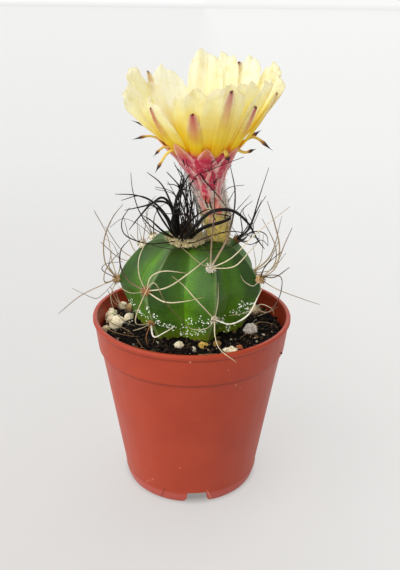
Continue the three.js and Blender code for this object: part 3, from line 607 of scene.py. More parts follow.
def petalSilk(name, stripe=0.0):
    made = Shader(name, 0.5)
    acrossBlade, alongBlade = made.uv()
    place, glow = made.place(), made.attribute("glow")
    level = made.maths("ADD", alongBlade, made.ranged(made.noise(place, 150, 3), 0.3, 0.7, -0.08, 0.08))
    # painted light: petals with more glow are washed toward white up the blade, as if lit from behind
    lit = made.times(glow, made.ranged(level, 0.12, 0.6))
    base = made.blend(lit, made.ramp(level, *petalTones), rgb(255, 255, 242))
    lines = made.noise(made.stretched(made.uvPlace(), (26, 0.7, 1)), 1, 3, 0.6)
    vein = made.ranged(lines, 0.42, 0.62)
    base = made.blend(made.times(vein, 0.1), base, rgb(220, 190, 70))
    # painted shade: tan smudges on the upper blade stand in for the shade in its crumples
    crumpleShade = made.ranged(made.noise(place, 260, 4, 0.65), 0.52, 0.7)
    crumpleShade = made.times(crumpleShade, made.ranged(alongBlade, 0.62, 0.9), 0.4)
    base = made.blend(crumpleShade, base, rgb(230, 212, 120))
    base = made.blend(made.ranged(alongBlade, 0.98, 1.0, 0, 0.2), base, rgb(224, 204, 130))
    if stripe:
        middle = made.offBy(acrossBlade, 0.5)
        soft = made.ranged(made.noise(place, 500, 3), 0.3, 0.7, -0.06, 0.06)
        span = made.ranged(glow, 0.1, 0.15, 0.52, 0.44)
        band = made.ranged(made.maths("DIVIDE", made.maths("ADD", middle, soft), span), 1.0, 0.25)
        rise = made.maths("SUBTRACT", alongBlade, made.ranged(glow, 0.1, 0.3, 0, 0.4))
        share = made.times(band, made.ranged(rise, 0.26, 0.98), stripe)
        base = made.blend(share, base, rgb(214, 98, 104))
        tip = made.times(made.ranged(alongBlade, 0.955, 0.985), made.ranged(middle, 0.3, 0.1), 0.8)
        base = made.blend(tip, base, rgb(70, 26, 30))
    made.colour(base)
    crumple = made.times(made.noise(place, 330, 3, 0.6), made.ranged(alongBlade, 0.4, 0.95, 0, 2.2))
    made.bump(made.maths("ADD", made.times(lines, 0.2), crumple), 0.6, 0.0008)
    # painted light: the petals glow faintly in their own colour, a little more where they are washed white
    made.set(Specular_IOR_Level=0.12, Emission_Strength=1.0)
    shine = made.ramp(lit, (0.0, (0.12, 0.12, 0.12)), (1.0, (0.16, 0.16, 0.16)))
    made.link(made.blend(1.0, base, shine, "MULTIPLY"), made.surface.inputs["Emission Color"])
    through = made.node("BsdfTranslucent")  # half of the light goes through the petal
    made.link(base, through.inputs["Color"])
    both = made.node("MixShader")
    both.inputs[0].default_value = 0.5
    made.link(made.surface.outputs[0], both.inputs[1])
    made.link(through.outputs[0], both.inputs[2])
    made.link(both.outputs[0], made.tree.nodes["Material Output"].inputs[0])
    return made.material


pot = {
    "height": 78.4, "rimRadius": 42.5, "baseRadius": 29.2, "wall": 1.2,
    "collarHeight": 14.2, "collarStep": 1.1, "collarTaper": 1.3,
    "beadHeight": 2.2, "beadProud": 0.7,
    "floorHeight": 7.5, "floorThickness": 1.4, "floorInset": 4,
    "notchAzimuths": (6, 96, 186, 276), "notchWidth": 8.6, "notchHeight": 5.7, "notchFlare": 3.2,
    "notchDepth": 6, "notchCorner": 0.9, "notchOutside": 1.6,
    "drainRadius": 3.2, "drainCircle": 19, "drainDepth": 6, "drainTurn": 45,
    "sides": 144, "crease": 32,
}
collarBottom = pot["height"] - pot["collarHeight"]
collarRadius = pot["rimRadius"] - pot["beadProud"] - pot["collarTaper"]
bodyTopRadius = collarRadius - pot["collarStep"]


def potOuter(z):
    return mix(pot["baseRadius"], bodyTopRadius, z / collarBottom)


def notchCutter(azimuth):  # an opening in the foot ring, with round upper corners and a flared foot
    half, high = pot["notchWidth"] / 2, pot["notchHeight"]
    flare, corner = pot["notchFlare"], pot["notchCorner"]
    flareSteps, cornerSteps = 8, 6
    side = [(half + flare, -1), (half + flare, 0)]
    for step in range(1, flareSteps + 1):  # the flare curves up into the upright side
        share = step / flareSteps
        side.append((half + flare * (1 - share) ** 2, 1.2 * share * (1 - share) + high * 0.6 * share ** 2))
    for step in range(cornerSteps + 1):
        turn = math.pi / 2 * step / cornerSteps
        side.append((half - corner * (1 - math.cos(turn)), high - corner + corner * math.sin(turn)))
    outline = side + [(-x, z) for x, z in reversed(side)]
    clearSelection()
    bpy.ops.mesh.primitive_circle_add(vertices=len(outline), radius=1, fill_type="NGON")
    cutter = bpy.context.active_object
    for vertex, (x, z) in zip(cutter.data.vertices, outline):
        vertex.co = Vector((x, -pot["baseRadius"] - pot["notchOutside"], z)) * mm
    inwards = {"value": (0, pot["notchDepth"] * mm, 0)}
    editAll(
        lambda: bpy.ops.mesh.extrude_region_move(TRANSFORM_OT_translate=inwards),
        lambda: bpy.ops.mesh.select_all(action="SELECT"),
        lambda: bpy.ops.mesh.normals_make_consistent(inside=False),
    )
    cutter.rotation_euler = (0, 0, math.radians(azimuth))
    bpy.ops.object.transform_apply(location=False, rotation=True, scale=False)
    return cutter


def closeRing():  # fills the selected ring of edges, and insets the new face
    bpy.ops.mesh.edge_face_add()
    bpy.ops.mesh.inset(thickness=pot["floorInset"] * mm)
    bpy.ops.object.mode_set(mode="OBJECT")


def makePot():
    clearSelection()
    base, wall, height = pot["baseRadius"], pot["wall"], pot["height"]
    beadFoot = height - pot["beadHeight"]
    under = pot["floorHeight"] - pot["floorThickness"]
    rim = pot["rimRadius"]
    lipInner = rim - pot["beadProud"] - wall
    profile = [  # radius and height, from under the floor round the outside and back to its top
        (base - 2.9, under), (base - 2.45, under - 0.4), (base - 2.2, 0.15), (base - 2.0, 0), (base - 0.9, 0),
        (base - 0.45, 0.12), (base - 0.12, 0.45), (base + 0.15, 1.1), (potOuter(5) + 0.25, 4.6),
        (potOuter(6.2) + 0.1, 5.8), (potOuter(8), 8), (potOuter(30), 30), (potOuter(50), 50),
        (bodyTopRadius - 0.1, collarBottom - 0.8), (bodyTopRadius + 0.1, collarBottom - 0.1),
        (collarRadius - 0.5, collarBottom + 0.15), (collarRadius - 0.1, collarBottom + 0.5),
        (collarRadius, collarBottom + 1.2),
        (rim - pot["beadProud"] - 0.1, beadFoot - 0.5), (rim - pot["beadProud"], beadFoot + 0.15),
        (rim - 0.25, beadFoot + 0.35), (rim, beadFoot + 0.8),
        (rim, height - 0.75), (rim - 0.18, height - 0.3),
        (rim - 0.5, height - 0.05), (lipInner + 0.5, height), (lipInner + 0.1, height - 0.2),
        (lipInner, height - 0.6), (lipInner - 0.3, beadFoot), (collarRadius - wall, collarBottom + 1.8),
        (collarRadius - wall - 0.3, collarBottom + 1), (bodyTopRadius - wall + 0.2, collarBottom - 0.2),
        (bodyTopRadius - wall, collarBottom - 1), (potOuter(30) - wall, 30),
        (potOuter(8.5) - wall, pot["floorHeight"] + 1), (potOuter(7.5) - wall - 0.8, pot["floorHeight"]),
    ]
    lowRadius, lowHeight = profile[0]
    bpy.ops.mesh.primitive_circle_add(
        vertices=pot["sides"], radius=lowRadius * mm, location=(0, 0, lowHeight * mm))
    obj = bpy.context.active_object
    bpy.ops.object.mode_set(mode="EDIT")
    bpy.ops.mesh.select_all(action="SELECT")
    for (radius, z), (nextRadius, nextZ) in zip(profile, profile[1:]):
        bpy.ops.mesh.extrude_region_move(TRANSFORM_OT_translate={"value": (0, 0, (nextZ - z) * mm)})
        share = nextRadius / radius
        bpy.ops.transform.resize(value=(share, share, 1), center_override=(0, 0, nextZ * mm))
    closeRing()
    bpy.ops.object.transform_apply(location=True, rotation=True, scale=True)
    for vertex in obj.data.vertices:  # the first ring, which the underside of the floor closes
        low = abs(vertex.co.z - lowHeight * mm) < 1e-6
        vertex.select = low and abs(vertex.co.xy.length - lowRadius * mm) < 1e-5
    for edge in obj.data.edges:
        edge.select = all(obj.data.vertices[i].select for i in edge.vertices)
    for polygon in obj.data.polygons:
        polygon.select = False
    bpy.ops.object.mode_set(mode="EDIT")
    closeRing()
    weld(obj)
    cutters = []
    for azimuth in pot["notchAzimuths"]:
        cutters.append(notchCutter(azimuth))
        middle = polar(azimuth + pot["drainTurn"], pot["drainCircle"], pot["floorHeight"])
        bpy.ops.mesh.primitive_cylinder_add(
            vertices=40, radius=pot["drainRadius"] * mm, depth=pot["drainDepth"] * mm, location=middle * mm)
        cutters.append(bpy.context.active_object)
    for cutter in cutters:
        applied(obj, "BOOLEAN", operation="DIFFERENCE", object=cutter, solver="EXACT")
        bpy.data.objects.remove(cutter)
    finishPiece(shaded(obj, pot["crease"]), "potShell", potPlastic(), "pot", "pot")


stem = {
    "centre": (-1, 1),
    "ribAzimuths": (-86, -33, 20.5, 67, 118, 170, 222),
    "ribReach": (0.97, 1, 0.99, 1.03, 1, 0.98, 1.01),
    "limeLossAndShade": (0.25, 0, 0.65, 0.4, 0.3, 0.5, 0.2),  # how far each valley is from bright lime, and how much painted shade darkens the face beside it
    "limeWide": (1, 0, 0, 0, 0.4, 0, 0.5),  # how far up the face beside it each valley's lime spreads
    "skew": 6, "skewHeights": (96, 108),  # degrees that the front ribs turn, and where they do
    "valleyShare": 0.76, "valleySink": 1.8, "crownSpan": 29, "shoulderHeight": 102.6,
    "faceBulge": 0.03, "faceWave": 0.16,
    "ridgePinch": 0.012, "ridgeWidth": 0.07, "creasePinch": 0.02, "creaseWidth": 0.08,
    "ridge": (  # radius and height, from the root up to the growing point
        (0.02, 56), (13, 57.5), (17.5, 62), (20.5, 67), (22.4, 72), (24, 76), (26.2, 80.5), (28.6, 86),
        (30.6, 91), (31.1, 94.5), (29.4, 98.5), (26.4, 102.6), (22.2, 107), (17, 110.2), (11.5, 111.2),
        (5, 110), (0.02, 109.2),
    ),
    "ribs": 7, "perRib": 30, "levels": 84,
}
stemLevels = along([(radius, 0, height) for radius, height in stem["ridge"]], stem["levels"] + 1)


def stemPoint(ribShare, row):  # ribShare counts ribs round the stem, and row is a point of the profile
    rib = int(ribShare) % stem["ribs"]
    nextRib = (rib + 1) % stem["ribs"]
    share = ribShare - int(ribShare)
    azimuth, nextAzimuth = stem["ribAzimuths"][rib], stem["ribAzimuths"][nextRib]
    if nextRib == 0:
        nextAzimuth += 360
    turning = stem["skew"] * smooth(*stem["skewHeights"], row.z)
    azimuth += turning * max(0, math.cos(math.radians(azimuth)))
    nextAzimuth += turning * max(0, math.cos(math.radians(nextAzimuth)))
    near = share < 0.5
    radius, height, reach = row.x, row.z, stem["ribReach"][rib if near else nextRib]
    drop = 0
    if height > stem["shoulderHeight"] or (radius < 12 and height > 90):
        drop = stem["valleySink"] * math.sin(math.pi * radius / stem["crownSpan"])
        drop *= smooth(stem["shoulderHeight"], stem["shoulderHeight"] + 3, height)
    t = share * 2 if near else 2 - share * 2  # 0 on the ridge and 1 in the valley
    ridge = polar(azimuth if near else nextAzimuth, radius * reach, height)
    valley = polar((azimuth + nextAzimuth) / 2, radius * stem["valleyShare"], height - drop)
    sharp = math.exp(-((t / stem["ridgeWidth"]) ** 2))
    hollow = math.exp(-(((1 - t) / stem["creaseWidth"]) ** 2))
    eased = min(1, t + stem["ridgePinch"] * sharp * min(1, radius / 8) * 3) - stem["creasePinch"] * hollow
    point = ridge.lerp(valley, eased)
    bulge = 1 + stem["faceBulge"] * math.sin(math.pi * t)
    point.x = point.x * bulge + stem["centre"][0]
    point.y = point.y * bulge + stem["centre"][1]
    outward = Vector((point.x - stem["centre"][0], point.y - stem["centre"][1], 0))
    if outward.length > 0.1:
        wave = stem["faceWave"] * math.sin(height * 0.9 + rib * 2.1) * math.sin(math.pi * t)
        wave *= min(1, radius / 12)
        point += outward.normalized() * wave
    return point, t, near


def ridgeAt(rib, height):
    levels = stem["ridge"][1:]
    upper = next(i for i, row in enumerate(levels) if row[1] >= height)
    (r0, z0), (r1, z1) = levels[upper - 1], levels[upper]
    share = (height - z0) / (z1 - z0)
    point = polar(stem["ribAzimuths"][rib], mix(r0, r1, share) * stem["ribReach"][rib], height)
    outward = polar(stem["ribAzimuths"][rib], z1 - z0, r0 - r1).normalized()
    return point + Vector((*stem["centre"], 0)), outward


def makeStem():
    around, levels = stem["ribs"] * stem["perRib"], stem["levels"]
    shares = {"valley": [], "turned": [], "dull": [], "wide": []}

    def shape(u, v):
        ribShare = round(u * around) * stem["ribs"] / around % stem["ribs"]
        point, t, near = stemPoint(ribShare, stemLevels[round(v * levels)])
        shares["valley"].append(t)
        shares["turned"].append(0.5 if t in (0, 1) else near)  # 1 on the face at the right of a ridge, where the skin paints shade
        shares["dull"].append(stem["limeLossAndShade"][int(ribShare)])
        shares["wide"].append(stem["limeWide"][int(ribShare)])
        return point
    obj = wrappedGrid(around, levels, shape)
    for name, values in shares.items():
        setShares(obj, name, values)
    weld(obj)
    shaded(obj)
    skin = surfaceOf(obj)
    finishPiece(obj, "stemBody", cactusSkin(), "skin", "stem")
    return skin


def surfaceOf(obj):  # for finding points of a finished piece's skin
    points = [vertex.co / mm for vertex in obj.data.vertices]
    return BVHTree.FromPolygons(points, [polygon.vertices for polygon in obj.data.polygons])


def stemHit(skin, azimuth, height):  # the stem's outside at this azimuth about its own centre
    centre = Vector((*stem["centre"], height))
    far = centre + polar(azimuth, 60)
    return skin.ray_cast(far, (centre - far).normalized())[:2]


flecks = {
    "groups": (  # azimuth and height of the middle, spread sideways and up (mm), count
        (-77.5, 84.0, 1.2, 1.6, 6), (-73, 80.9, 1.2, 1.4, 6), (-32.7, 89.3, 0.5, 2.2, 5),
        (-63.5, 77.3, 2.2, 1.4, 8), (-30, 85.0, 0.8, 1.6, 6), (-27.5, 82.8, 1.0, 1.2, 7),
        (-21.8, 80.9, 1.2, 1.0, 7), (-18.5, 79.7, 1.0, 1.0, 6), (-5.7, 79.9, 1.6, 1.0, 5),
        (-2.2, 76.3, 2.6, 0.9, 9), (3.4, 82.9, 1.4, 1.2, 7), (13.2, 84.9, 1.4, 1.4, 8),
        (14.4, 79.7, 1.6, 1.2, 8), (6, 78.2, 1.8, 1.0, 8), (19.8, 84.8, 0.8, 1.2, 5),
        (42.8, 80.5, 1.6, 1.6, 9), (51.7, 76.2, 1.8, 1.2, 8), (55.3, 83.7, 1.6, 1.6, 10),
        (56, 87.6, 1.2, 0.9, 8), (63.3, 87.4, 1.2, 0.8, 6), (62.6, 84.5, 1.2, 1.0, 7),
        (84, 82.5, 3.0, 1.8, 12), (101, 80.5, 3.0, 1.6, 10), (128, 83.0, 3.2, 1.8, 12),
        (146, 80.0, 3.0, 1.6, 10),
        (160, 84.0, 2.6, 1.6, 10), (183, 82.0, 3.2, 1.8, 12), (203, 80.0, 3.0, 1.4, 10),
        (232, 84.0, 3.0, 1.8, 12), (251, 81.0, 3.2, 1.6, 12),
    ),
    "more": 1.7, "spread": 2.2, "turnRadius": 27, "size": (0.17, 0.36), "colour": (250, 252, 242),
    "shine": (0.95, 0.95, 0.88, 1), "paintedGlowStrength": 0.25,
}


def makeFlecks(skin):
    places = []
    for group, (azimuth, height, sideways, upwards, count) in enumerate(flecks["groups"]):
        for index in range(round(count * flecks["more"])):
            seed = group * 41.3 + index * 1.7
            swing = (chance(seed) + chance(seed + 0.3) - 1) * sideways * flecks["spread"]
            rise = (chance(seed + 0.6) + chance(seed + 0.9) - 1) * upwards * flecks["spread"]
            place, normal = stemHit(skin, azimuth + math.degrees(swing / flecks["turnRadius"]), height + rise)
            if place is None:
                continue
            size = mix(*flecks["size"], chance(seed + 1.2) ** 1.6)
            places.append((place + normal * 0.05, (size, size * 1.3, size * 0.8), flecks["colour"], seed))
    # painted light: the flecks glow faintly, so they stay white on the stem's shaded foot
    look = tinted("fleckWool", 0.85, Emission_Color=flecks["shine"],
                  Emission_Strength=flecks["paintedGlowStrength"])
    finishPiece(scattered("stemFlecks", places, 0.25), "stemFlecks", look, "skin")


soil = {
    "height": 71, "relief": 0.7, "roughness": 0.55, "moundHeight": 2.8, "moundFoot": 37, "moundTop": 25,
    "seatGap": 0.3, "around": 220, "rings": 40,
}


def soilTop(x, y):
    mound = soil["moundHeight"] * (1 - smooth(soil["moundTop"], soil["moundFoot"], math.hypot(x, y)))
    crumbs = math.sin(x * 0.9 + 1.7 * math.sin(y * 0.55)) * math.cos(y * 0.8 + math.sin(x * 0.7))
    crumbs += 0.5 * math.sin(x * 2.1 - y * 1.7)
    return soil["height"] + mound + soil["relief"] * crumbs


def makeSoil():
    wall, gap = pot["wall"], soil["seatGap"]
    foot = pot["floorHeight"] + gap
    topRadius = collarRadius - wall - 0.5
    sides = [(0.02, foot), (potOuter(foot) - wall - gap - 0.6, foot),
             (potOuter(collarBottom - 1) - wall - gap, collarBottom - 1.5),
             (topRadius, collarBottom + 2.5), (topRadius + 0.3, 70.0)]
    rings = [(mix(topRadius + 0.2, 0.02, (index + 1) / soil["rings"]), None)
             for index in range(soil["rings"])]
    profile = sides + rings  # radius and height, where None stands for the rough top

    def shape(u, v):
        radius, height = profile[round(v * (len(profile) - 1))]
        spot = polar(360 * u if u < 1 else 0, radius)
        if height is None:
            rough = noise.fractal(Vector((spot.x, spot.y, 3)) * 0.7, 0.6, 2.1, 4)
            height = soilTop(spot.x, spot.y) + soil["roughness"] * rough
            if radius > topRadius - 1:
                height -= 0.3
        return Vector((spot.x, spot.y, height))
    obj = wrappedGrid(soil["around"], len(profile) - 1, shape)
    weld(obj)
    finishPiece(shaded(obj, 60), "soilBed", soilMix(), "soil", "soil")


crumbs = {
    "count": 2300, "inner": 22, "outer": 38.6, "size": (0.3, 1.15), "dim": 0.58,
    "colours": (
        (20, 13, 10), (34, 22, 16), (46, 31, 22), (62, 42, 29), (28, 19, 14), (16, 11, 9),
        (84, 60, 40), (112, 84, 56), (40, 26, 19), (24, 16, 12), (146, 116, 80), (30, 20, 15),
    ),
    "paleCount": 260, "paleRing": (25, 38.2), "paleSize": (0.22, 0.75),
    "heap": (-32.5, 1, 0), "heapRadius": 7.5,
    "paleColours": ((226, 214, 186), (214, 190, 146), (232, 226, 210)),
    "onCollar": ((37.8, -15.7, 66.5), (0.45, 0.45, 0.6), (96, 52, 36)),  # place, radii, colour
}
fibres = {
    "laid": (  # root radius, colour, route
        (0.28, (176, 150, 108), ((-37, -3.6, 75.6), (-33, -8, 75.4), (-26, -14, 75.2), (-24, -17, 74.9))),
        (0.24, (150, 116, 78), ((-36, -10, 74.2), (-30, -15.6, 74.6), (-24, -18, 74.6), (-21, -18.6, 74.8))),
        (0.26, (126, 92, 60), ((-22, -21, 75), (-21, -24, 75), (-19, -27, 74), (-15, -30.6, 73.4))),
        (0.3, (150, 118, 80), ((3, -30.6, 73.2), (7, -31.2, 73.6), (11, -30.4, 73.4), (14, -31, 73))),
        (0.22, (168, 138, 98), ((24, -13, 76), (27, -10, 77.4), (30, -8, 77.2), (36, -9, 76.4))),
        (0.2, (120, 88, 60), ((20, -20, 75.4), (23, -18.4, 76.6), (27, -18, 75.4))),
        (0.24, (104, 76, 52), ((26, 18, 74.2), (30, 14, 74.8), (34, 9, 73.8))),
        (0.24, (140, 108, 74), ((-14, 33, 73.4), (-8, 34.6, 73.8), (-2, 33, 73.4))),
    ),
    "count": 90, "ring": (25, 38), "reach": 38.3, "length": (1.5, 4.5), "colour": (168, 128, 86),
}


def makeCrumbs():
    places = []
    for index in range(crumbs["count"]):
        radius = math.sqrt(mix(crumbs["inner"] ** 2, crumbs["outer"] ** 2, chance(index * 1.37)))
        spot = polar(360 * chance(index * 2.11 + 5), radius)
        share = chance(index * 3.3 + 9)
        size = mix(*crumbs["size"], share ** 2.4)
        pickedColour = crumbs["colours"][int(chance(index * 0.71 + 2) * len(crumbs["colours"]))]
        colour = [crumbs["dim"] * c for c in pickedColour]
        if share > 0.75 and sum(colour) > 180:
            size *= 0.6
        height = soilTop(spot.x, spot.y) + size * 0.35
        radii = (size, size * mix(0.5, 1, chance(index + 0.4)), size * mix(0.5, 0.9, chance(index + 0.8)))
        places.append(((spot.x, spot.y, height), radii, colour, index * 1.9))
    for index in range(crumbs["paleCount"]):  # many of the small pale bits lie by the heap at the left
        azimuth = 360 * chance(index * 4.4 + 1)
        if chance(index * 7.7) < 0.45:
            spot = Vector(crumbs["heap"]) + polar(azimuth, crumbs["heapRadius"] * chance(index * 5.1) ** 0.5)
        else:
            spot = polar(azimuth, mix(*crumbs["paleRing"], chance(index * 5.1)))
        if not crumbs["inner"] <= spot.length <= crumbs["paleRing"][1]:
            continue
        size = mix(*crumbs["paleSize"], chance(index * 6.3) ** 2)
        tone = mix(0.62, 1, chance(index * 8.9))
        colour = [tone * c for c in crumbs["paleColours"][index % 3]]
        place = (spot.x, spot.y, soilTop(spot.x, spot.y) + size * 0.5)
        places.append((place, (size, size * 0.8, size * 0.8), colour, index * 2.3 + 700))
    places.append((*crumbs["onCollar"], 3.3))
    loose = scattered("looseCrumbs", places, 0.35)
    finishPiece(loose, "soilCrumbs", tinted("crumbEarth", 0.95, 0.0004), "soil")


def makeFibres():
    strands = []
    for radius, colour, route in fibres["laid"]:
        strands.append(spineStrand(route, radius, 0.12, ((0, colour), (1, [c * 0.8 for c in colour])), 2))
    for index in range(fibres["count"]):
        spot = polar(360 * chance(index * 9.1), mix(*fibres["ring"], chance(index * 3.9)))
        base = Vector((spot.x, spot.y, soilTop(spot.x, spot.y) + 0.5))
        length = mix(*fibres["length"], chance(index * 1.1))
        way = polar(360 * chance(index * 2.9), length, mix(-0.1, 0.7, chance(index * 4.9)))
        bend = way.cross(Vector((0, 0, 1))) * mix(-0.3, 0.3, chance(index * 5.9)) + Vector((0, 0, 0.3))
        end = base + way
        if end.xy.length > fibres["reach"]:
            continue
        tone = mix(0.35, 1, chance(index * 6.7))
        colour = [tone * c for c in fibres["colour"]]
        route = (base - Vector((0, 0, 0.6)), base + way * 0.5 + bend, end)
        radius = mix(0.12, 0.3, chance(index * 7.3))
        strands.append(spineStrand(route, radius, 0.08, ((0, colour), (1, colour)), 2, 7))
    obj = strandMesh("soilFibres", strands, 4, 0.7)
    finishPiece(obj, "soilFibres", tinted("driedFibre", 0.9), "soil")


grains = {  # lumps of each node: x, y, half width, half height, roundness from 0 (jagged) to 1 (smooth)
    "perlite_left": ("perlite", (
        (-35.4, 4.4, 2.5, 2.1, 0.6), (-32.6, 1.8, 2.6, 2.2, 0.5),
        (-33.2, -2.4, 2.5, 2, 0.6), (-30.8, -0.8, 2.3, 2.2, 0.7),
    )),
    "perlite_far_left": ("perlite", ((-36, 10.5, 2.1, 1.9, 0.6), (-37, 8.2, 1.7, 1.8, 0.6))),
    "perlite_back": ("perlite", ((-32.2, 20.2, 2.2, 2.3, 1),)),
    "perlite_round": ("perlite", ((-27.3, 0.8, 2.1, 2, 1),)),
    "grit_rim": ("tan", ((-36.8, -5.4, 1.7, 1.6, 0.6),)),
    "perlite_front": ("perlite", ((-4.8, -25, 1.8, 1.15, 0.3),)),
    "grit_front_small": ("pale", ((1.1, -27.2, 1, 1.1, 0.4),)),
    "grit_front_yellow": ("yellow", ((4.9, -25, 1.7, 1.3, 0.4),)),
    "grit_front_brown": ("brown", ((10.5, -24.2, 1.5, 1.3, 0.4),)),
    "perlite_front_right": ("perlite", (
        (15.9, -26.4, 1.9, 1.4, 0), (13.9, -27.2, 1.1, 0.9, 0), (17.6, -25.5, 1.1, 1.2, 0),
    )),
    "grit_right": ("orange", ((19.6, -23.2, 1.4, 1.3, 0.3),)),
    "stone_right": ("grey", ((24.8, -11, 2.8, 2.4, 0.4),)),
    "grit_back_right": ("brown", ((30, 13, 2.1, 1.7, 0.3),)),
}
grainLooks = {
    "perlite": (rgb(232, 216, 178), rgb(254, 245, 218), rgb(176, 140, 92)),
    "pale": (rgb(196, 186, 160), rgb(224, 216, 194), rgb(130, 110, 80)),
    "yellow": (rgb(170, 132, 50), rgb(216, 186, 96), rgb(120, 86, 40)),
    "brown": (rgb(112, 84, 44), rgb(158, 126, 72), rgb(60, 42, 26)),
    "tan": (rgb(196, 160, 108), rgb(240, 224, 186), rgb(150, 104, 60)),
    "orange": (rgb(168, 88, 52), rgb(206, 136, 92), rgb(196, 176, 150)),
    "grey": (rgb(176, 166, 152), rgb(222, 214, 204), rgb(110, 98, 84)),
}
grainSlots = {"perlite": "perlite", "grey": "stone"}


def makeGrains():
    materials = {look: grainStone(look + "Grain", *colours) for look, colours in grainLooks.items()}
    for number, (node, (look, lumps)) in enumerate(grains.items()):
        parts = []
        for index, (x, y, wide, high, roundness) in enumerate(lumps):
            centre, radii = (x, y, soilTop(x, y) + high * 0.35), (wide, wide * 0.92, high)
            uneven, frequency = mix(0.3, 0.05, roundness), mix(1.8, 1.1, roundness)
            parts.append(lump(centre, radii, number * 9.7 + index * 3.1, uneven, 5, frequency))
        obj = shaded(joined(parts), 40)
        finishPiece(obj, camel(node), materials[look], grainSlots.get(look, "grit"), node)


tones = {  # screen colours along a spine, from root to tip
    "cream": ((0, (176, 142, 98)), (0.1, (232, 220, 186)), (0.75, (224, 210, 174)), (1, (172, 148, 112))),
    "white": ((0, (214, 200, 172)), (0.1, (244, 240, 226)), (0.8, (240, 234, 216)), (1, (206, 188, 154))),
    "tan": ((0, (150, 112, 72)), (0.15, (204, 184, 148)), (0.6, (166, 144, 114)), (1, (104, 88, 74))),
    "grey": ((0, (136, 116, 90)), (0.3, (158, 146, 126)), (1, (118, 110, 100))),
    "dark": ((0, (84, 62, 46)), (0.3, (48, 36, 31)), (0.8, (40, 30, 28)), (1, (74, 62, 54))),
    "black": ((0, (24, 17, 16)), (0.5, (17, 12, 12)), (0.9, (20, 15, 15)), (1, (56, 46, 44))),
    "turning": ((0, (200, 182, 142)), (0.3, (140, 116, 92)), (0.6, (58, 42, 36)), (1, (34, 26, 26))),
    "faded": ((0, (34, 26, 24)), (0.45, (44, 34, 30)), (0.75, (110, 90, 72)), (1, (160, 142, 116))),
    "folded": ((0, (210, 196, 160)), (0.6, (200, 184, 146)), (0.72, (126, 92, 64)), (1, (92, 66, 48))),
    "rust": ((0, (178, 112, 60)), (0.5, (206, 140, 78)), (1, (140, 96, 60))),
}


def toneAt(stops, share):
    for (low, first), (high, second) in zip(stops, stops[1:]):
        if share <= high:
            part = (share - low) / max(1e-6, high - low)
            return [mix(a, b, part) for a, b in zip(first, second)]
    return list(stops[-1][1])


def spineStrand(route, rootRadius, tipRadius, stops, twist=2.0, count=0):
    length = sum((Vector(b) - Vector(a)).length for a, b in zip(route, route[1:]))
    count = count or max(8, min(44, round(length / 1.3)))
    points = along(route, count)
    radii, colours = [], []
    for index in range(count):
        share = index / (count - 1)
        radii.append(mix(rootRadius, tipRadius, share ** 1.5) * (1 + 0.06 * math.sin(index * 1.9)))
        colours.append(toneAt(stops, share))
    return points, radii, twist, colours


def strandMesh(name, strands, sides=6, flat=0.62):  # a mesh of strands, tinted from root to tip
    obj = rods(name, [strand[:3] for strand in strands], sides, flat)
    tree = kdtree.KDTree(sum(len(strand[0]) for strand in strands))
    colours = []
    for strand in strands:
        for point, tint in zip(strand[0], strand[3]):
            tree.insert(point, len(colours))
            colours.append(rgb(*tint))
    tree.balance()
    setTint(obj, lambda place: colours[tree.find(place)[1]])
    return shaded(obj)


def lump(centre, radii, seed, uneven=0.15, level=4, frequency=1.3):
    clearSelection()
    bpy.ops.mesh.primitive_ico_sphere_add(subdivisions=level, radius=1)
    obj = bpy.context.active_object
    offset = Vector((chance(seed) * 40, chance(seed + 1) * 40, chance(seed + 2) * 40))
    for vertex in obj.data.vertices:
        way = vertex.co.normalized()
        swell = 1 + uneven * noise.fractal(way * frequency + offset, 0.7, 2.2, 4) * 1.4
        vertex.co = Vector([centre[i] + way[i] * radii[i] * swell for i in range(3)]) * mm
    return obj


def scattered(name, places, uneven):  # one mesh of many small lumps: centre, radii, screen colour, seed
    clearSelection()
    bpy.ops.mesh.primitive_ico_sphere_add(subdivisions=1, radius=1)
    template = bpy.context.active_object
    corners = [vertex.co.copy() for vertex in template.data.vertices]
    faces = [tuple(polygon.vertices) for polygon in template.data.polygons]
    bpy.data.objects.remove(template)
    points, polygons, colours = [], [], []
    for centre, radii, colour, seed in places:
        turn = Matrix.Rotation(6.28 * chance(seed + 0.1), 3, "Z")
        turn = turn @ Matrix.Rotation(3.14 * chance(seed + 0.2), 3, "X")
        first = len(points)
        for number, corner in enumerate(corners):
            swell = 1 + uneven * (2 * chance(seed * 7.1 + number) - 1)
            spot = Vector([corner[i] * radii[i] * swell for i in range(3)])
            points.append((Vector(centre) + turn @ spot) * mm)
            colours.append(rgb(*colour))
        polygons.extend([first + i for i in face] for face in faces)
    mesh = bpy.data.meshes.new(name)
    mesh.from_pydata(points, [], polygons)
    mesh.update()
    obj = bpy.data.objects.new(name, mesh)
    bpy.context.collection.objects.link(obj)
    setTints(obj, colours)
    return shaded(obj, 50)


def curl(root, way, length, seed, stops, thick=0.07, wave=0.55):  # one short wool hair
    way = way.normalized()
    side = way.orthogonal().normalized()
    turn = 2 * math.pi * chance(seed)
    lean = side * math.cos(turn) + way.cross(side) * math.sin(turn)
    other = way.cross(lean)
    shares = [step / 4 for step in range(5)]
    points = []
    for share in shares:
        swing = math.sin(share * 4.2 + 6 * chance(seed + 0.7)) * 0.18 * share
        forward = way * length * share * (1 - 0.35 * share)
        points.append(root + forward + lean * length * wave * share ** 2 + other * length * swing)
    radii = [thick * (1 - 0.4 * share) for share in shares]
    return points, radii, 0, [toneAt(stops, share) for share in shares]


def woolTone(colour, seed):
    bright = mix(0.78, 1.12, chance(seed))
    return ((0, [min(255, c * bright * 0.8) for c in colour]), (1, [min(255, c * bright) for c in colour]))


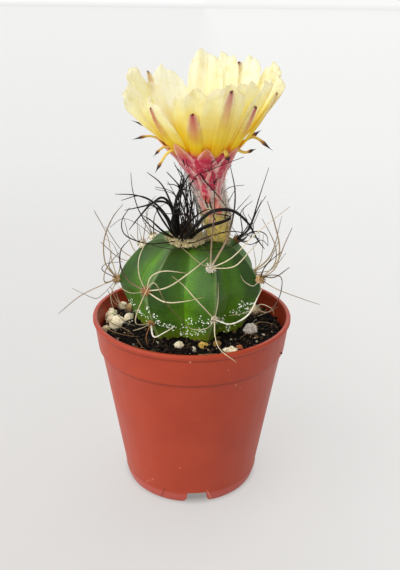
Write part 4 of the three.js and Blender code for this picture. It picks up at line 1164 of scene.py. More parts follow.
def tuft(centre, outward, radius, count, length, colour, seed):  # wool hairs over a round pad
    hairs = []
    side = outward.orthogonal().normalized()
    rise = outward.cross(side)
    for index in range(count):
        turn = 2 * math.pi * chance(seed + index * 1.31)
        lean = chance(seed + index * 2.17) ** 0.7 * 1.45
        way = outward * math.cos(lean) + (side * math.cos(turn) + rise * math.sin(turn)) * math.sin(lean)
        reach = length * mix(0.6, 1.3, chance(seed + index * 0.77))
        stops = woolTone(colour, seed + index * 3.3)
        hairs.append(curl(centre + way * radius * 0.85, way, reach, seed + index, stops))
    return hairs


tan, stout, fine = 0.31, 0.43, 0.24  # root radii of spines
pads = {"radius": 1.8, "stubs": 4, "hairs": 90, "hairLength": 1.5, "stubRadius": 0.34, "stubReach": 0.4,
        "longStubReach": 0.9, "spineTip": 0.13, "proud": 0.7}
areoles = {  # each spine: root radius, tone, route from the pad
    "rib1_mid": {"rib": 0, "height": 93.5, "wool": (196, 162, 120), "spines": (
        (stout, "tan", (-35.8, -4, 100.6), (-36.4, -5, 108.8), (-35.6, -5, 113.6), (-32.2, -4, 121.3),
         (-28, -3, 126.5)),
        (tan, "tan", (-34.6, 4, 100.8), (-36, 6, 109.5), (-41.6, 8, 120.5)),
        (stout, "tan", (-36.2, -6, 93.6), (-35.8, -8.6, 99), (-33, -9.8, 104), (-29.4, -10, 108.2)),
        (tan, "tan", (-34.4, -6, 101), (-33.4, -8, 105), (-32.4, -8.6, 109)),
        (fine, "dark", (-36.6, -10.5, 101), (-34.6, -13.6, 104.6), (-31, -14, 105.4), (-27.6, -14, 105.8)),
        (tan, "tan", (-34.2, -5, 87), (-32.4, -7, 81), (-28, -9, 77), (-23.4, -12, 76.4)),
        (stout, "tan", (-39.5, 1, 89.1), (-48.1, 0, 84.7), (-57.6, -1.5, 76.9)),
        (fine, "grey", (-38.6, 5, 84), (-42.4, 7, 80.6), (-48, 8, 82.4), (-53, 8, 85)),
        (fine, "grey", (-31.5, 8, 97.6), (-34.7, 10, 105.4), (-38, 10, 107.4)),
    )},
    "rib2_mid": {"rib": 1, "height": 97.3, "wool": (206, 138, 88), "pad": 1.5, "stubs": 9, "stub": "rust",
                 "spines": (
        (stout, "turning", (-23.4, -28, 102.7), (-26.6, -29, 108.8), (-26.4, -29, 116), (-23.4, -28, 119.6)),
        (fine, "cream", (-23.1, -29.6, 98.8), (-27.6, -31, 102)),
        (tan, "cream", (-19.6, -31, 106.8), (-19.3, -33, 114.3), (-15.5, -33, 122.9)),
        (tan, "cream", (-15, -28, 105.3), (-10.8, -28.4, 107.4), (-1.7, -28, 106.6)),
        (stout, "cream", (-9.2, -30, 101.4), (-0.8, -31.6, 108), (6.2, -31, 114)),
        (tan, "cream", (-9.9, -31, 95.8), (-3.4, -32, 96.4), (4.9, -33.4, 99)),
    )},
    "rib2_low": {"rib": 1, "height": 82.8, "wool": (206, 146, 86), "pad": 0.95, "spines": (
        (tan, "folded", (-21.3, -30.5, 86.4), (-19.4, -34, 95.4), (-13.8, -35.6, 105.6), (-9.7, -36, 98.4),
         (-1.1, -35, 87.2)),
        (stout, "white", (-14.4, -30, 80.4), (-9.9, -33, 84), (-6.4, -34, 86.8)),
        (fine, "rust", (-17.6, -30, 79.4), (-16.6, -31, 77)),
        (fine, "cream", (-19.6, -30, 84), (-22.4, -32, 84)),
    )},
    "rib3_mid": {"rib": 2, "height": 105.6, "wool": (255, 248, 236), "pad": 1.5, "stubs": 9, "stub": "white",
                 "spines": (
        (tan, "turning", (7.6, -22, 117), (8.4, -19.6, 128.2), (8.2, -17.4, 137.7), (6.8, -17.6, 146.6)),
        (0.56, "turning", (13.4, -18, 116.8), (16.2, -13, 126.5), (16.5, -11, 134.6), (14.5, -12, 144)),
        (stout, "cream", (15.4, -27, 112.8), (23.8, -25, 121.4), (37, -20, 131)),
        (tan, "cream", (16.5, -29, 110.1), (21.8, -30, 116.5), (24.4, -30, 119.4)),
        (tan, "tan", (2.4, -27, 110.9), (-0.8, -25.6, 113.4), (-6.1, -22, 116.6)),
    )},
    "rib3_low": {"rib": 2, "height": 86.9, "wool": (252, 244, 224), "pad": 1.2, "stubs": 3, "spines": (
        (tan, "cream", (2.3, -34.6, 98.1), (-3.4, -35, 105), (-7.1, -34, 107.6)),
        (fine, "cream", (6.3, -32.4, 85.6), (1.4, -34.6, 86), (-1.8, -36.6, 88.6)),
        (stout, "white", (15.4, -33, 87.8), (21.8, -34, 92.2), (25.6, -30.4, 98.4), (28, -25.6, 100.8)),
        (tan, "cream", (9.4, -36, 83.6), (11.2, -42, 81.4), (17.2, -46.6, 78.6)),
        (fine, "cream", (10.2, -36, 98.7), (10, -37.4, 106.7)),
    )},
    "rib4_mid": {"rib": 3, "height": 97.6, "wool": (206, 170, 122), "spines": (
        (stout, "tan", (33.6, -13, 103.5), (34.8, -13, 112), (32.7, -11, 120.9), (29.4, -9, 130.1)),
        (tan, "tan", (32.6, -16, 105.9), (33, -18.6, 112.1), (31.6, -19, 117), (26.9, -18, 125.5)),
        (tan, "tan", (34.6, -9, 104.6), (37.4, -7, 111.3), (40.4, -5, 118)),
        (fine, "black", (28.8, -17.6, 105.4), (31, -20.4, 109.6), (34.6, -22, 113.6)),
        (fine, "faded", (32.3, -14, 100.9), (35.9, -14.4, 100.1), (36.2, -15, 94.4), (34.8, -15.6, 90),
         (32.2, -16.4, 86.4), (27, -18.4, 84.6)),
        (tan, "tan", (34.2, -9.6, 93.4), (46.4, 0, 85), (57.6, 14, 76)),
        (fine, "cream", (24.4, -19, 98), (20.4, -22.6, 101.6), (19, -23.6, 104.4)),
    )},
    "rib4_low": {"rib": 3, "height": 84.4, "wool": (214, 196, 160), "spines": (
        (tan, "cream", (28.6, -15.4, 88.6), (32.6, -16, 87), (34, -14.4, 83.4)),
        (fine, "cream", (20, -20.4, 86.4), (14.8, -26, 88.2)),
        (fine, "tan", (31.6, -9.6, 82.4), (36.4, -6, 83.6)),
    )},
    "rib5_mid": {"rib": 4, "height": 106.8, "wool": (150, 116, 80), "spines": (
        (stout, "dark", (23.7, 0, 117), (26.9, -2, 130.2), (30, -3, 142.1)),
        (0.8, "black", (23.4, -1, 116.4), (25.4, -2, 122.3), (27.8, -3, 128.9)),
        (0.42, "black", (19.8, -5, 112.6), (14.2, -8, 121.4)),
        (0.4, "black", (21.8, -4, 113), (23.6, -6, 116.4), (26.8, -6, 116.2), (27.1, -6, 113.4)),
        (0.4, "black", (23.4, -3, 112), (24.6, -6, 118.9), (22.1, -8, 124.4)),
        (0.42, "black", (21, -6, 115.4), (23.3, -7, 114.9), (27.4, -6, 113.2), (25.8, -4.4, 110.6)),
        (0.32, "dark", (24.5, -4, 110.4), (28.3, -6, 113), (30.8, -7, 110.8)),
        (0.34, "dark", (20.4, -2, 115.8), (19.5, -4, 124.1), (21.8, -4, 127)),
        (tan, "black", (24.4, 4, 117.4), (28, 3, 125.7), (30, 3, 129)),
        (tan, "black", (27.6, 5.6, 113), (31, 3, 112), (31.6, 0.4, 108.4)),
        (fine, "dark", (23.4, 9, 115.3), (21, 8.6, 121), (24.8, 6.4, 126)),
        (fine, "grey", (25, 13, 112), (29, 18, 119)),
    )},
    "rib6_mid": {"rib": 5, "height": 101.6, "wool": (176, 146, 104), "tone": "dark",
        "sprout": (7, 27, 150, 61)},
    "rib7_mid": {"rib": 6, "height": 105, "wool": (250, 240, 218), "spines": (
        (tan, "grey", (-21.6, 10.4, 117.2), (-20.4, 8, 121), (-15.6, 6, 122.8)),
        (tan, "grey", (-16.4, 15, 117), (-13.6, 15, 121), (-9.6, 14.6, 123)),
        (fine, "dark", (-25, 15.6, 113), (-31, 18, 114), (-36.6, 18, 110)),
        (tan, "grey", (-20, 21, 112), (-21, 27, 117), (-17, 31, 121)),
    )},
    "rib1_top": {"rib": 0, "height": 108.2, "wool": (252, 244, 224), "spines": (
        (fine, "grey", (-23, -1.6, 110.4), (-25.6, -2, 113.4)),
        (fine, "grey", (-21.6, 2, 111.6), (-22.6, 4, 115)),
    )},
    "rib1_low": {"rib": 0, "height": 80.4, "wool": (186, 154, 110), "tone": "tan",
        "sprout": (4, 11, 100, 14)},
    "rib5_low": {"rib": 4, "height": 90.6, "wool": (196, 166, 124), "tone": "tan",
        "sprout": (6, 24, 150, 51)},
    "rib6_low": {"rib": 5, "height": 86.4, "wool": (196, 166, 124), "tone": "cream",
        "sprout": (6, 23, 140, 67)},
    "rib7_low": {"rib": 6, "height": 91.6, "wool": (196, 166, 124), "tone": "tan",
        "sprout": (6, 24, 150, 75)},
}


def sprouted(root, outward, count, reach, fan, seed):  # spines that fan out and bend up to the crown
    side = Vector((0, 0, 1)).cross(outward).normalized()
    rise = outward.cross(side).normalized()
    routes = []
    for index in range(count):
        lean = math.radians(mix(-fan / 2, fan / 2, index / (count - 1)) + 10 * (chance(seed + index) - 0.5))
        across = side * math.sin(lean) + rise * math.cos(lean)
        length = reach * mix(0.75, 1.2, chance(seed * 3 + index))
        bend = root + outward * length * 0.3 + across * length * 0.35
        tip = root + outward * length * 0.42 + across * length * 0.75 + Vector((0, 0, length * 0.3))
        routes.append((stout if index % 3 == 0 else tan, bend, tip))
    return routes


def dryStubs(row, root, outward, wide, seed):  # longer where the row names their tone
    side = outward.orthogonal().normalized()
    reach = wide + pads["longStubReach" if "stub" in row else "stubReach"]
    count, stops = row.get("stubs", pads["stubs"]), tones[row.get("stub", "tan")]
    strands = []
    for index in range(count):
        turn = 2 * math.pi * (index + 0.5 * chance(seed + index)) / count
        way = (side * math.cos(turn) + outward.cross(side) * math.sin(turn)) * reach + outward * 0.9
        route = [root, root + way * 0.6 + outward * 0.5, root + way]
        strands.append(spineStrand(route, pads["stubRadius"], 0.2, stops, 1, 8))
    return strands


def makeAreoles():
    spineLook, woolLook = tinted("drySpine", 0.5, 0.0002), feltWool()
    for number, (name, row) in enumerate(areoles.items()):
        point, outward = ridgeAt(row["rib"], row["height"])
        root = point + outward * pads["proud"]
        routes = row.get("spines")
        if "sprout" in row:
            routes = [(radius, row["tone"], *route)
                      for radius, *route in sprouted(root, outward, *row["sprout"])]
        seed, wide = number * 53.0, row.get("pad", pads["radius"])
        strands = []
        for index, (radius, tone, *route) in enumerate(routes):
            twist = mix(-3, 3, chance(number * 7 + index))
            strands.append(spineStrand([root, *route], radius, pads["spineTip"], tones[tone], twist))
        spines = strandMesh("spines", strands + dryStubs(row, root, outward, wide, seed))
        spines.data.materials.append(spineLook)
        seat = root - outward * 0.3
        pad = lump(seat, (wide, wide, wide * 0.9), seed, 0.22, 4, 2.2)
        setTint(pad, lambda place: rgb(*row["wool"]))
        pad.data.materials.append(woolLook)
        shaded(pad)
        tufts = tuft(seat, outward, wide, pads["hairs"], pads["hairLength"], row["wool"], seed)
        hairs = strandMesh("hairs", tufts, 3, 1)
        hairs.data.materials.append(woolLook)
        node = "areole_" + name
        finishPiece(joined([spines, pad, hairs]), camel(node), None, "spine", node)
    return woolLook


crown = {
    "spines": (
        (0.5, "dark", (-6.1, -5.6, 112.4), (-15.4, -13, 119.7), (-19.9, -14.6, 125.6), (-22.8, -15, 135.1),
         (-23.5, -14, 141.9)),
        (0.85, "black", (-5.9, -6.6, 113), (-10.5, -9, 124), (-16.8, -9.6, 130.1), (-22.6, -9.6, 132),
         (-30.4, -9, 132.1)),
        (0.9, "black", (-6.8, -5.4, 113), (-10.9, -5.2, 121.9), (-13.9, -5, 125.4), (-17.6, -5, 127)),
        (0.7, "black", (-6.6, -3.4, 113), (-8, -2, 124.3), (-12.2, -1.4, 129), (-17.4, -1, 126),
         (-27.8, 0, 123)),
        (0.65, "black", (-6.4, -6, 113), (-9.6, -6.6, 127.8), (-15.2, -6.6, 128.4), (-21, -6, 122.5),
         (-25.6, -6, 116.6)),
        (0.45, "dark", (-5.6, -6.6, 112.4), (-12, -13.4, 113.6), (-18, -17, 114.6), (-26.4, -17, 118.4),
         (-27.4, -14, 123), (-24.5, -12, 127.5)),
        (0.6, "black", (-5.6, -6.6, 113), (-7.6, -7, 123.3), (-6.6, -7.4, 129.5), (-3.6, -7.6, 138.4),
         (-7, -7, 143.4)),
        (0.5, "black", (-4.6, -6.6, 113), (-5.4, -6.4, 122.8), (-4.6, -6.4, 131), (-2.4, -6.4, 138),
         (1.6, -9.6, 142), (5, -11, 138), (10.7, -11, 131.6), (14, -11, 126.8), (15.2, -11, 124.8)),
        (0.5, "black", (-5.4, -5, 113), (-7, -4, 126.6), (-5.4, -3, 133.4), (-10.5, -2, 139.6)),
        (0.5, "black", (-5.6, -4, 113), (-6, -2, 125), (-8, -1, 131), (-15.4, 0, 133)),
        (1.45, "black", (-3.6, -7.2, 112.6), (1.1, -15.4, 121.4), (7.6, -17, 127.8), (15.4, -17.4, 128.4),
         (21.6, -16.6, 123.3), (25.6, -16, 116.5), (28.6, -15.6, 112.4)),
        (1.2, "black", (-2.1, -6.8, 112.6), (4.6, -13.8, 120.4), (11.6, -16, 123.4), (15, -17.4, 125.8),
         (8, -18.4, 127.6)),
        (0.8, "black", (-6.2, -7, 113), (-8.1, -9, 121), (-7.3, -9.5, 125.3), (-6.1, -9.5, 130.2),
         (-3.7, -9, 134.1), (-1, -9, 136.5), (1.7, -9, 138.9)),
        (0.36, "dark", (-3.4, -7, 113), (-0.9, -9, 121.9), (-3.7, -10, 124.7), (-8.8, -10.5, 124.8),
         (-11.6, -10, 125)),
        (0.3, "black", (-2.6, -9, 128), (-2.2, -9.4, 131.7), (1.3, -12, 140.4), (6.6, -13, 143),
         (12.3, -12, 145.2), (19.6, -10, 147.6)),
        (0.36, "black", (-2.6, -4, 118), (-3, -4, 122.9), (-7, -5, 131), (-14.9, -6, 133.6)),
        (0.34, "black", (-1.9, -4, 120), (-2.2, -4, 126.7), (-6.2, -5, 134.7), (-10.1, -6, 135.7)),
        (0.36, "black", (-2.3, -3, 121), (-2.6, -3, 127.2), (-4.7, -4, 133.6), (-10.1, -5, 140.2)),
        (0.36, "black", (-1.9, -2, 121), (-2.1, -2, 128.2), (-4.3, -3, 136.6), (-7.5, -3, 143.8)),
        (0.3, "dark", (-1, -8.4, 112), (3.2, -16.2, 111.8), (9.3, -13, 111.2), (15.3, -11.4, 111.6),
         (17.9, -12, 113.6), (22, -13, 117)),
        (0.28, "dark", (-4, -8, 112.2), (-5.5, -14.9, 111.6), (-13.1, -11, 111.2), (-17.8, -14, 113.8)),
        (0.4, "dark", (-3, -8.2, 112), (1, -13, 114), (6, -15.4, 117), (15, -14, 119), (23, -11, 117)),
        (0.9, "black", (-5, -7, 112.6), (-3, -11, 119), (1.4, -12.6, 124.6), (5.4, -12, 127),
         (9, -10.6, 126.4)),
        (0.8, "black", (-7, -5, 112.6), (-12, -8, 117), (-17, -9, 122), (-20.6, -9, 124)),
        (0.7, "black", (-6, -6, 112.6), (-9.4, -8.6, 118), (-12.6, -9.6, 123.4), (-15, -10, 128),
         (-17.4, -10, 129.6)),
        (0.6, "dark", (-4.4, 1.6, 113), (-9, 12, 122), (-14, 18, 130), (-20, 21, 134)),
        (0.6, "dark", (-2, 2.6, 113), (0, 16, 123), (4, 22, 131), (5, 30, 134)),
        (0.5, "dark", (0.4, 1.8, 113), (8, 14, 121), (15, 19, 128), (22, 21, 129)),
        (0.5, "dark", (-6, 0.4, 113), (-14, 6, 123), (-22, 8, 127), (-30, 8, 125)),
    ),
    "wool": (250, 234, 184), "oldWool": (170, 130, 76), "woolCentre": (-2.4, -3.2, 0), "woolHairs": 900,
    "woolHeight": 111.4, "woolRadii": (6, 6, 2), "woolLumps": 14,
}
bud = {
    "centre": (-2.7, -1.4, 115.4), "radii": (2.5, 2.5, 3.6), "colour": (150, 112, 84),
    "bristles": 34, "bristleRadius": (0.16, 0.26), "swing": (20, 90),
    "cage": (  # share of the swing, distance from the middle, height, and how much the height varies
        (0, (1.6, 2.9), 113, 0), (0.2, (4.2, 5.1), 118.6, 2),
        (0.6, (3.6, 4.9), 126.6, 3), (1, (0.4, 2.2), 134, 6),
    ),
    "down": 160, "downLength": 2.0, "downColour": (150, 118, 92),
}


def makeCrown(woolLook):
    blackLook = tinted("blackSpine", 0.5, 0.0002, Specular_IOR_Level=0.2)
    strands = []
    for index, (radius, tone, *route) in enumerate(crown["spines"]):
        strands.append(spineStrand(route, radius, 0.15, tones[tone], mix(-2.5, 2.5, chance(index + 77))))
    spikes = strandMesh("spikes", strands, 6, 0.6)
    spikes.data.materials.append(blackLook)
    middle = Vector(crown["woolCentre"])
    parts = [lump(middle + Vector((0, 0, crown["woolHeight"])), crown["woolRadii"], 40, 0.12, 5, 3.2)]
    for index in range(crown["woolLumps"]):
        azimuth, high = 360 / crown["woolLumps"] * index, crown["woolHeight"] + 0.1 + 0.9 * chance(index + 7)
        spot = polar(azimuth, 4.8 + 1.4 * chance(index + 3), high)
        size = mix(1.5, 2.3, chance(index + 11))
        parts.append(lump(middle + spot, (size, size, size * 0.75), index, 0.3, 4, 2.2))
    cushion = joined(parts)
    setTint(cushion, lambda place: rgb(*[c * 0.92 for c in crown["wool"]]))
    cushion.data.materials.append(woolLook)
    shaded(cushion)
    hairs = []
    for index in range(crown["woolHairs"]):
        radius = 7.6 * chance(index * 1.7 + 0.2) ** 0.4
        azimuth = 360 * chance(index * 2.3 + 0.9)
        spot = polar(azimuth, radius, 113 - 0.02 * radius ** 2 + 0.5 * chance(index * 0.9))
        way = polar(azimuth + mix(-70, 70, chance(index * 3.1)), 0.6, mix(0.1, 0.9, chance(index * 4.1)))
        stops = woolTone(crown["wool"] if index % 6 else crown["oldWool"], index * 1.9)
        length = mix(1.2, 2.8, chance(index * 5.3))
        hairs.append(curl(spot + middle, way, length, index + 0.5, stops, 0.085, 0.7))
    fuzz = strandMesh("fuzz", hairs, 3, 1)
    fuzz.data.materials.append(woolLook)
    finishPiece(joined([spikes, cushion, fuzz]), "crownSpines", None, "black_spine", "crown")
    return blackLook


def makeBud(woolLook, blackLook):
    shoot = lump(bud["centre"], bud["radii"], 90, 0.16, 5, 2.6)
    setTint(shoot, lambda place: rgb(*[c * mix(0.9, 0.5, smooth(114, 118, place.z)) for c in bud["colour"]]))
    shoot.data.materials.append(woolLook)
    shaded(shoot)
    cage = []
    centre = Vector((*bud["centre"][:2], 0))
    for index in range(bud["bristles"]):
        azimuth = 360 * index / bud["bristles"] + 14 * chance(index + 1)
        swing = mix(*bud["swing"], chance(index + 17)) * (1 if index % 2 else -1)
        route = []
        for level, (turned, reach, height, rise) in enumerate(bud["cage"]):
            out = mix(*reach, chance(index + (5, 6, 8, 9)[level]))
            up = height + rise * chance(index + level + 1)
            route.append(centre + polar(azimuth + swing * turned, out, up))
        radius = mix(*bud["bristleRadius"], chance(index + 21))
        cage.append(spineStrand(route, radius, 0.09, tones["black"], 1, 18))
    bristles = strandMesh("bristles", cage, 5, 0.7)
    bristles.data.materials.append(blackLook)
    wisps = tuft(Vector(bud["centre"]), Vector((0, 0, 1)), 2.6, bud["down"], bud["downLength"],
                 bud["downColour"], 300.0)
    down = strandMesh("down", wisps, 3, 1)
    down.data.materials.append(woolLook)
    finishPiece(joined([bristles, shoot, down]), "budShoot", None, "wool", "bud")


tube = {
    "axis": ((10.6, 2.4, 106), (10.4, 1.4, 113), (9.5, 0.2, 120.5), (8.2, -1, 126), (6.5, -1.8, 132),
             (5.4, -2, 138), (4.7, -2, 143.5), (3.9, -2, 147.5)),
    "radii": (3.4, 4.5, 5.3, 5.5, 5.7, 6.6, 9.4, 12),
    "bore": ((132, 3.4), (138, 5), (143.5, 8), (147.5, 10.8)),  # height and radius of the hollow cup
    "foot": 106, "lip": 147.5, "cupFloor": 132, "roughness": 0.35,
    "around": 96, "outsideRows": 70, "insideRows": 16,
    "scales": (  # height of each ring of scales, their count, length and width
        (118, 4, 7, 3), (123, 5, 8.5, 4.2), (128.5, 6, 9.5, 5), (133.5, 6, 10.5, 6.2),
        (137.5, 7, 11, 7.6), (141, 8, 12.5, 9.4),
    ),
    "scaleThickness": 0.25, "scalesOpen": 147.4,  # above this height the scales go on opening
    "hairs": 3600, "firstFlankHair": 2600, "lowHairs": 124,  # hairs below this height are yellower
    "hairColours": {"low": (248, 230, 172), "dark": (96, 66, 34), "high": (252, 246, 240)},
    "bristles": 24,
    "tones": ((0, (252, 222, 104)), (0.4, (255, 232, 128)), (0.47, (252, 236, 196)), (0.56, (250, 230, 216)),
              (0.74, (246, 206, 200)), (0.84, (226, 112, 126)), (0.96, (206, 44, 80)), (1, (226, 90, 80))),
}
bloom = {"x": 3.9, "y": -2, "z": 147.8}
tubeLine = along(tube["axis"], 61)
tubeGirth = along([(radius, 0, axis[2]) for axis, radius in zip(tube["axis"], tube["radii"])], 61)


def atHeight(line, height):
    for low, high in zip(line, line[1:]):
        if height <= high.z:
            break
    share = min(1, max(0, (height - low.z) / (high.z - low.z)))
    return low.lerp(high, share)


def tubeAt(height):  # the axis and the radius at this height
    middle = atHeight(tubeLine, height)
    return Vector((middle.x, middle.y, 0)), atHeight(tubeGirth, height).x


def tubePoint(azimuth, height, extra=0.0):
    middle, radius = tubeAt(height)
    return polar(azimuth, radius + extra, height) + middle


def boreAt(height):
    rows = tube["bore"]
    for (low, first), (high, second) in zip(rows, rows[1:]):
        if height <= high:
            break
    return mix(first, second, (height - low) / (high - low))


def tubeShell():
    foot, lip, floor = tube["foot"], tube["lip"], tube["cupFloor"]
    up, down = tube["outsideRows"], tube["insideRows"]
    outside = [(mix(foot, lip, step / up), "skin") for step in range(up + 1)]
    inside = [(mix(lip, floor, step / down), "bore") for step in range(down + 1)]
    rows = [(foot, "end"), *outside, *inside, (floor, "end")]

    def shape(u, v):
        height, kind = rows[round(v * (len(rows) - 1))]
        azimuth = 360 * u if u < 1 else 0
        middle, radius = tubeAt(height)
        if kind == "skin":
            spot = polar(azimuth, 1, height * 0.2)
            place = Vector((spot.x * 3, spot.y * 3, height * 0.28))
            radius += tube["roughness"] * noise.fractal(place, 0.7, 2.1, 4)
        else:
            radius = boreAt(height) if kind == "bore" else 0.02
        return polar(azimuth, radius, height) + middle
    body = weld(wrappedGrid(tube["around"], len(rows) - 1, shape), 4e-6)
    setTint(body, tubeTone)
    body.data.materials.append(tubeSkin())
    return shaded(body)


def scaleBlade(azimuth, height, length, width, lift, seed):
    def shape(a, b):
        v = 2 * a - 1
        outline = (0.55 + 0.45 * math.sin(min(1, b * 2.2) * math.pi / 2)) * (1 - b ** 2.2) ** 0.85
        z, opens = height + length * b, tube["scalesOpen"]
        middle, radius = tubeAt(min(z, opens))
        radius += max(0, z - opens) * 0.9
        out = radius + 0.15 + lift * length * 0.12 * b + 0.5 * (1 - v * v) * math.sin(math.pi * b)
        out += 0.15 * noise.noise(Vector((v * 2, b * 4, seed)))
        spot = polar(azimuth + math.degrees(v * width * 0.5 * outline / max(3, radius)), out, z)
        return spot + middle
    return wrappedGrid(8, 14, shape)


def flank(place):  # how woolly the sides of the tube are
    spot = place - tubeAt(min(147, place.z))[0]
    side = abs(spot.x) / max(0.1, math.hypot(spot.x, spot.y))
    return smooth(0.5, 0.92, side) * smooth(118, 122, place.z) * (1 - smooth(133, 139, place.z))


def tubeScales():
    blades = []
    for level, (height, count, length, width) in enumerate(tube["scales"]):
        for index in range(count):
            seed = level * 31 + index * 7.0
            azimuth = 360 * (index + 0.5 * (level % 2)) / count + 12 * (chance(seed) - 0.5) - 12
            foot, reach = height + 1.6 * (chance(seed + 2) - 0.5), length * mix(0.85, 1.1, chance(seed + 3))
            blades.append(scaleBlade(azimuth, foot, reach, width, 0.25 + 0.03 * level, seed))
    scales = joined(blades)
    applied(scales, "SOLIDIFY", thickness=tube["scaleThickness"] * mm, offset=0)
    weld(scales, 1e-7)
    scales.data.materials.append(scaleSkin())
    setShares(scales, "woolly", [flank(vertex.co / mm) for vertex in scales.data.vertices])
    return shaded(scales)


def tubeWool():
    hairs = []
    for index in range(tube["hairs"]):
        height = 106.5 + 38 * chance(index * 1.3)
        azimuth = 360 * chance(index * 2.9)
        if index > tube["firstFlankHair"]:  # more wool on both flanks
            height = mix(120, 137, chance(index * 1.3))
            azimuth = 90 - 180 * (index % 2) + mix(-42, 42, chance(index * 2.9))
        base = tubePoint(azimuth, height, -0.1)
        low = height < tube["lowHairs"]
        colour = tube["hairColours"]["low" if low and index % 4 else "high"]
        if low and index % 5 == 0:
            colour = tube["hairColours"]["dark"]
        way = polar(azimuth + mix(-60, 60, chance(index * 4.7)), 0.45, mix(-0.5, 1.1, chance(index * 5.7)))
        length, stops = mix(1.2, 3.0, chance(index * 6.1)), woolTone(colour, index * 2.7)
        hairs.append(curl(base, way, length, index * 1.1, stops, 0.09 if low else 0.075, 0.6))
    return strandMesh("tubeWool", hairs, 3, 1)


def tubeBristles():
    bristles = []
    for index in range(tube["bristles"]):
        azimuth = 360 * chance(index * 5 + 1)
        height = mix(120, 144, chance(index * 3 + 2))
        foot = tubePoint(azimuth, height, -0.3)
        middle = tubePoint(azimuth, height + 2.6, 0.7)
        tip = tubePoint(azimuth + 8, height + 4.2 + 1.6 * chance(index), 1 + chance(index * 2))
        radius = mix(0.3, 0.5, chance(index + 3))
        bristles.append(spineStrand([foot, middle, tip], radius, 0.08, tones["black"], 1, 9))
    return strandMesh("tubeBristles", bristles, 5, 0.7)


def makeTube(woolLook, blackLook):
    body, scales, fuzz, spikes = tubeShell(), tubeScales(), tubeWool(), tubeBristles()
    fuzz.data.materials.append(woolLook)
    spikes.data.materials.append(blackLook)
    finishPiece(joined([body, scales, fuzz, spikes]), "tubeBody", None, "tube", "flower_tube")


def tubeTone(place):
    height = place.z + 2.5 * noise.fractal(place * 0.35, 0.8, 2.1, 3)
    return rgb(*toneAt(tube["tones"], min(1, max(0, (height - tube["foot"]) / 42))))


def tubeSkin():
    made = Shader("tubeSkin", 0.7)
    fibre = made.noise(made.stretched(made.place(), (900, 900, 200)), 1, 4, 0.65)
    shade = made.ramp(fibre, (0.3, (0.72, 0.66, 0.58)), (0.55, (1.1, 1.1, 1.08)))
    made.colour(made.blend(1.0, made.attribute("tint", "Color"), shade, "MULTIPLY"))
    made.bump(fibre, 0.7, 0.0006)
    return made.set(Specular_IOR_Level=0.25, Sheen_Weight=0.3).material


def scaleSkin():
    made = Shader("scaleSkin", 0.6)
    across, lengthwise = made.uv()
    place = made.place()
    height = made.axis(place, 2)
    body = made.blend(made.ranged(height, 0.1215, 0.1245), rgb(250, 228, 146), rgb(240, 116, 76))
    body = made.blend(made.ranged(height, 0.128, 0.133), body, rgb(208, 26, 68))
    high = made.ranged(height, 0.147, 0.1535)
    body = made.blend(high, body, rgb(238, 166, 84))
    cloud = made.noise(place, 420, 4, 0.6)
    offMiddle = made.maths("ADD", made.offBy(across, 0.5), made.ranged(cloud, 0.3, 0.7, -0.13, 0.13))
    margin = made.blend(high, rgb(248, 190, 178), rgb(246, 182, 130))
    body = made.blend(made.ranged(offMiddle, 0.22, 0.44), body, margin)
    streak = made.noise(made.stretched(place, (900, 900, 120)), 1, 3)
    deep = made.times(made.ranged(streak, 0.45, 0.7, 0, 0.7), made.ranged(height, 0.152, 0.146))
    body = made.blend(deep, body, rgb(172, 20, 58))
    fluff = made.ranged(made.noise(place, 480, 3, 0.7), 0.52, 0.7, 0, 0.5)
    body = made.blend(made.times(fluff, made.ranged(height, 0.147, 0.135, 0.15, 1)), body, rgb(250, 232, 224))
    woolly = made.times(made.attribute("woolly"), made.ranged(cloud, 0.3, 0.6, 0.5, 1))
    body = made.blend(woolly, body, rgb(250, 240, 232))
    tip = made.times(made.ranged(lengthwise, 0.95, 0.985), made.ranged(height, 0.148, 0.142))
    made.colour(made.blend(tip, body, rgb(44, 20, 20)))
    made.bump(streak, 0.4, 0.0003)
    made.set(Specular_IOR_Level=0.3, Sheen_Weight=0.25)
    return made.set(Subsurface_Weight=0.1, Subsurface_Radius=(0.001, 0.0004, 0.0003)).material


inner = {  # azimuth, tip radius, tip height, width, bow, cup, twist, glow from 0 (golden) to 1 (painted nearly white, as if backlit)
    "blades": (
        (178, 26.7, 183.2, 13, -1, 2.4, 0, 0.8), (160, 25, 182.6, 12.5, -1, 2.2, 8, 0.75),
        (139, 30.2, 182, 14, -1.4, 2, 0, 0.8), (114, 29.3, 179.4, 12.5, -2, 1.8, -8, 0.5),
        (92, 29.8, 176.8, 12.6, -2, 1.6, -28, 0.35), (66, 24.8, 176.5, 14.5, -2, 1.8, 0, 0.4),
        (42, 25.6, 175.6, 13, -2, 2.2, 0, 0.35), (18, 25.6, 175.3, 13.5, -2, 2.4, 0, 0.3),
        (-8, 25.2, 173.7, 14.5, -2, 2.6, 0, 0.3), (-50, 25.2, 169.2, 15, -2, 2, 8, 0.35),
        (-80, 30.8, 171.4, 15, -2, 1.6, 30, 0.6), (-110, 28.8, 178.2, 11, -2, 1.8, 10, 0.6),
        (-140, 27.7, 177.6, 16.5, -1.4, 2.2, 0, 0.95),
    ),
    "footRadius": 11.3, "footHeight": 149, "layerGap": 2.4, "behind": 1.2,
    "outline": (0.6, 0.66, 0.1),  # width at the foot, where it is full, and what the tip loses
    "drop": 0.16, "jag": 0.045, "ruffle": 1.7, "fold": 0.16, "cells": (44, 40), "wider": 1.12,
}
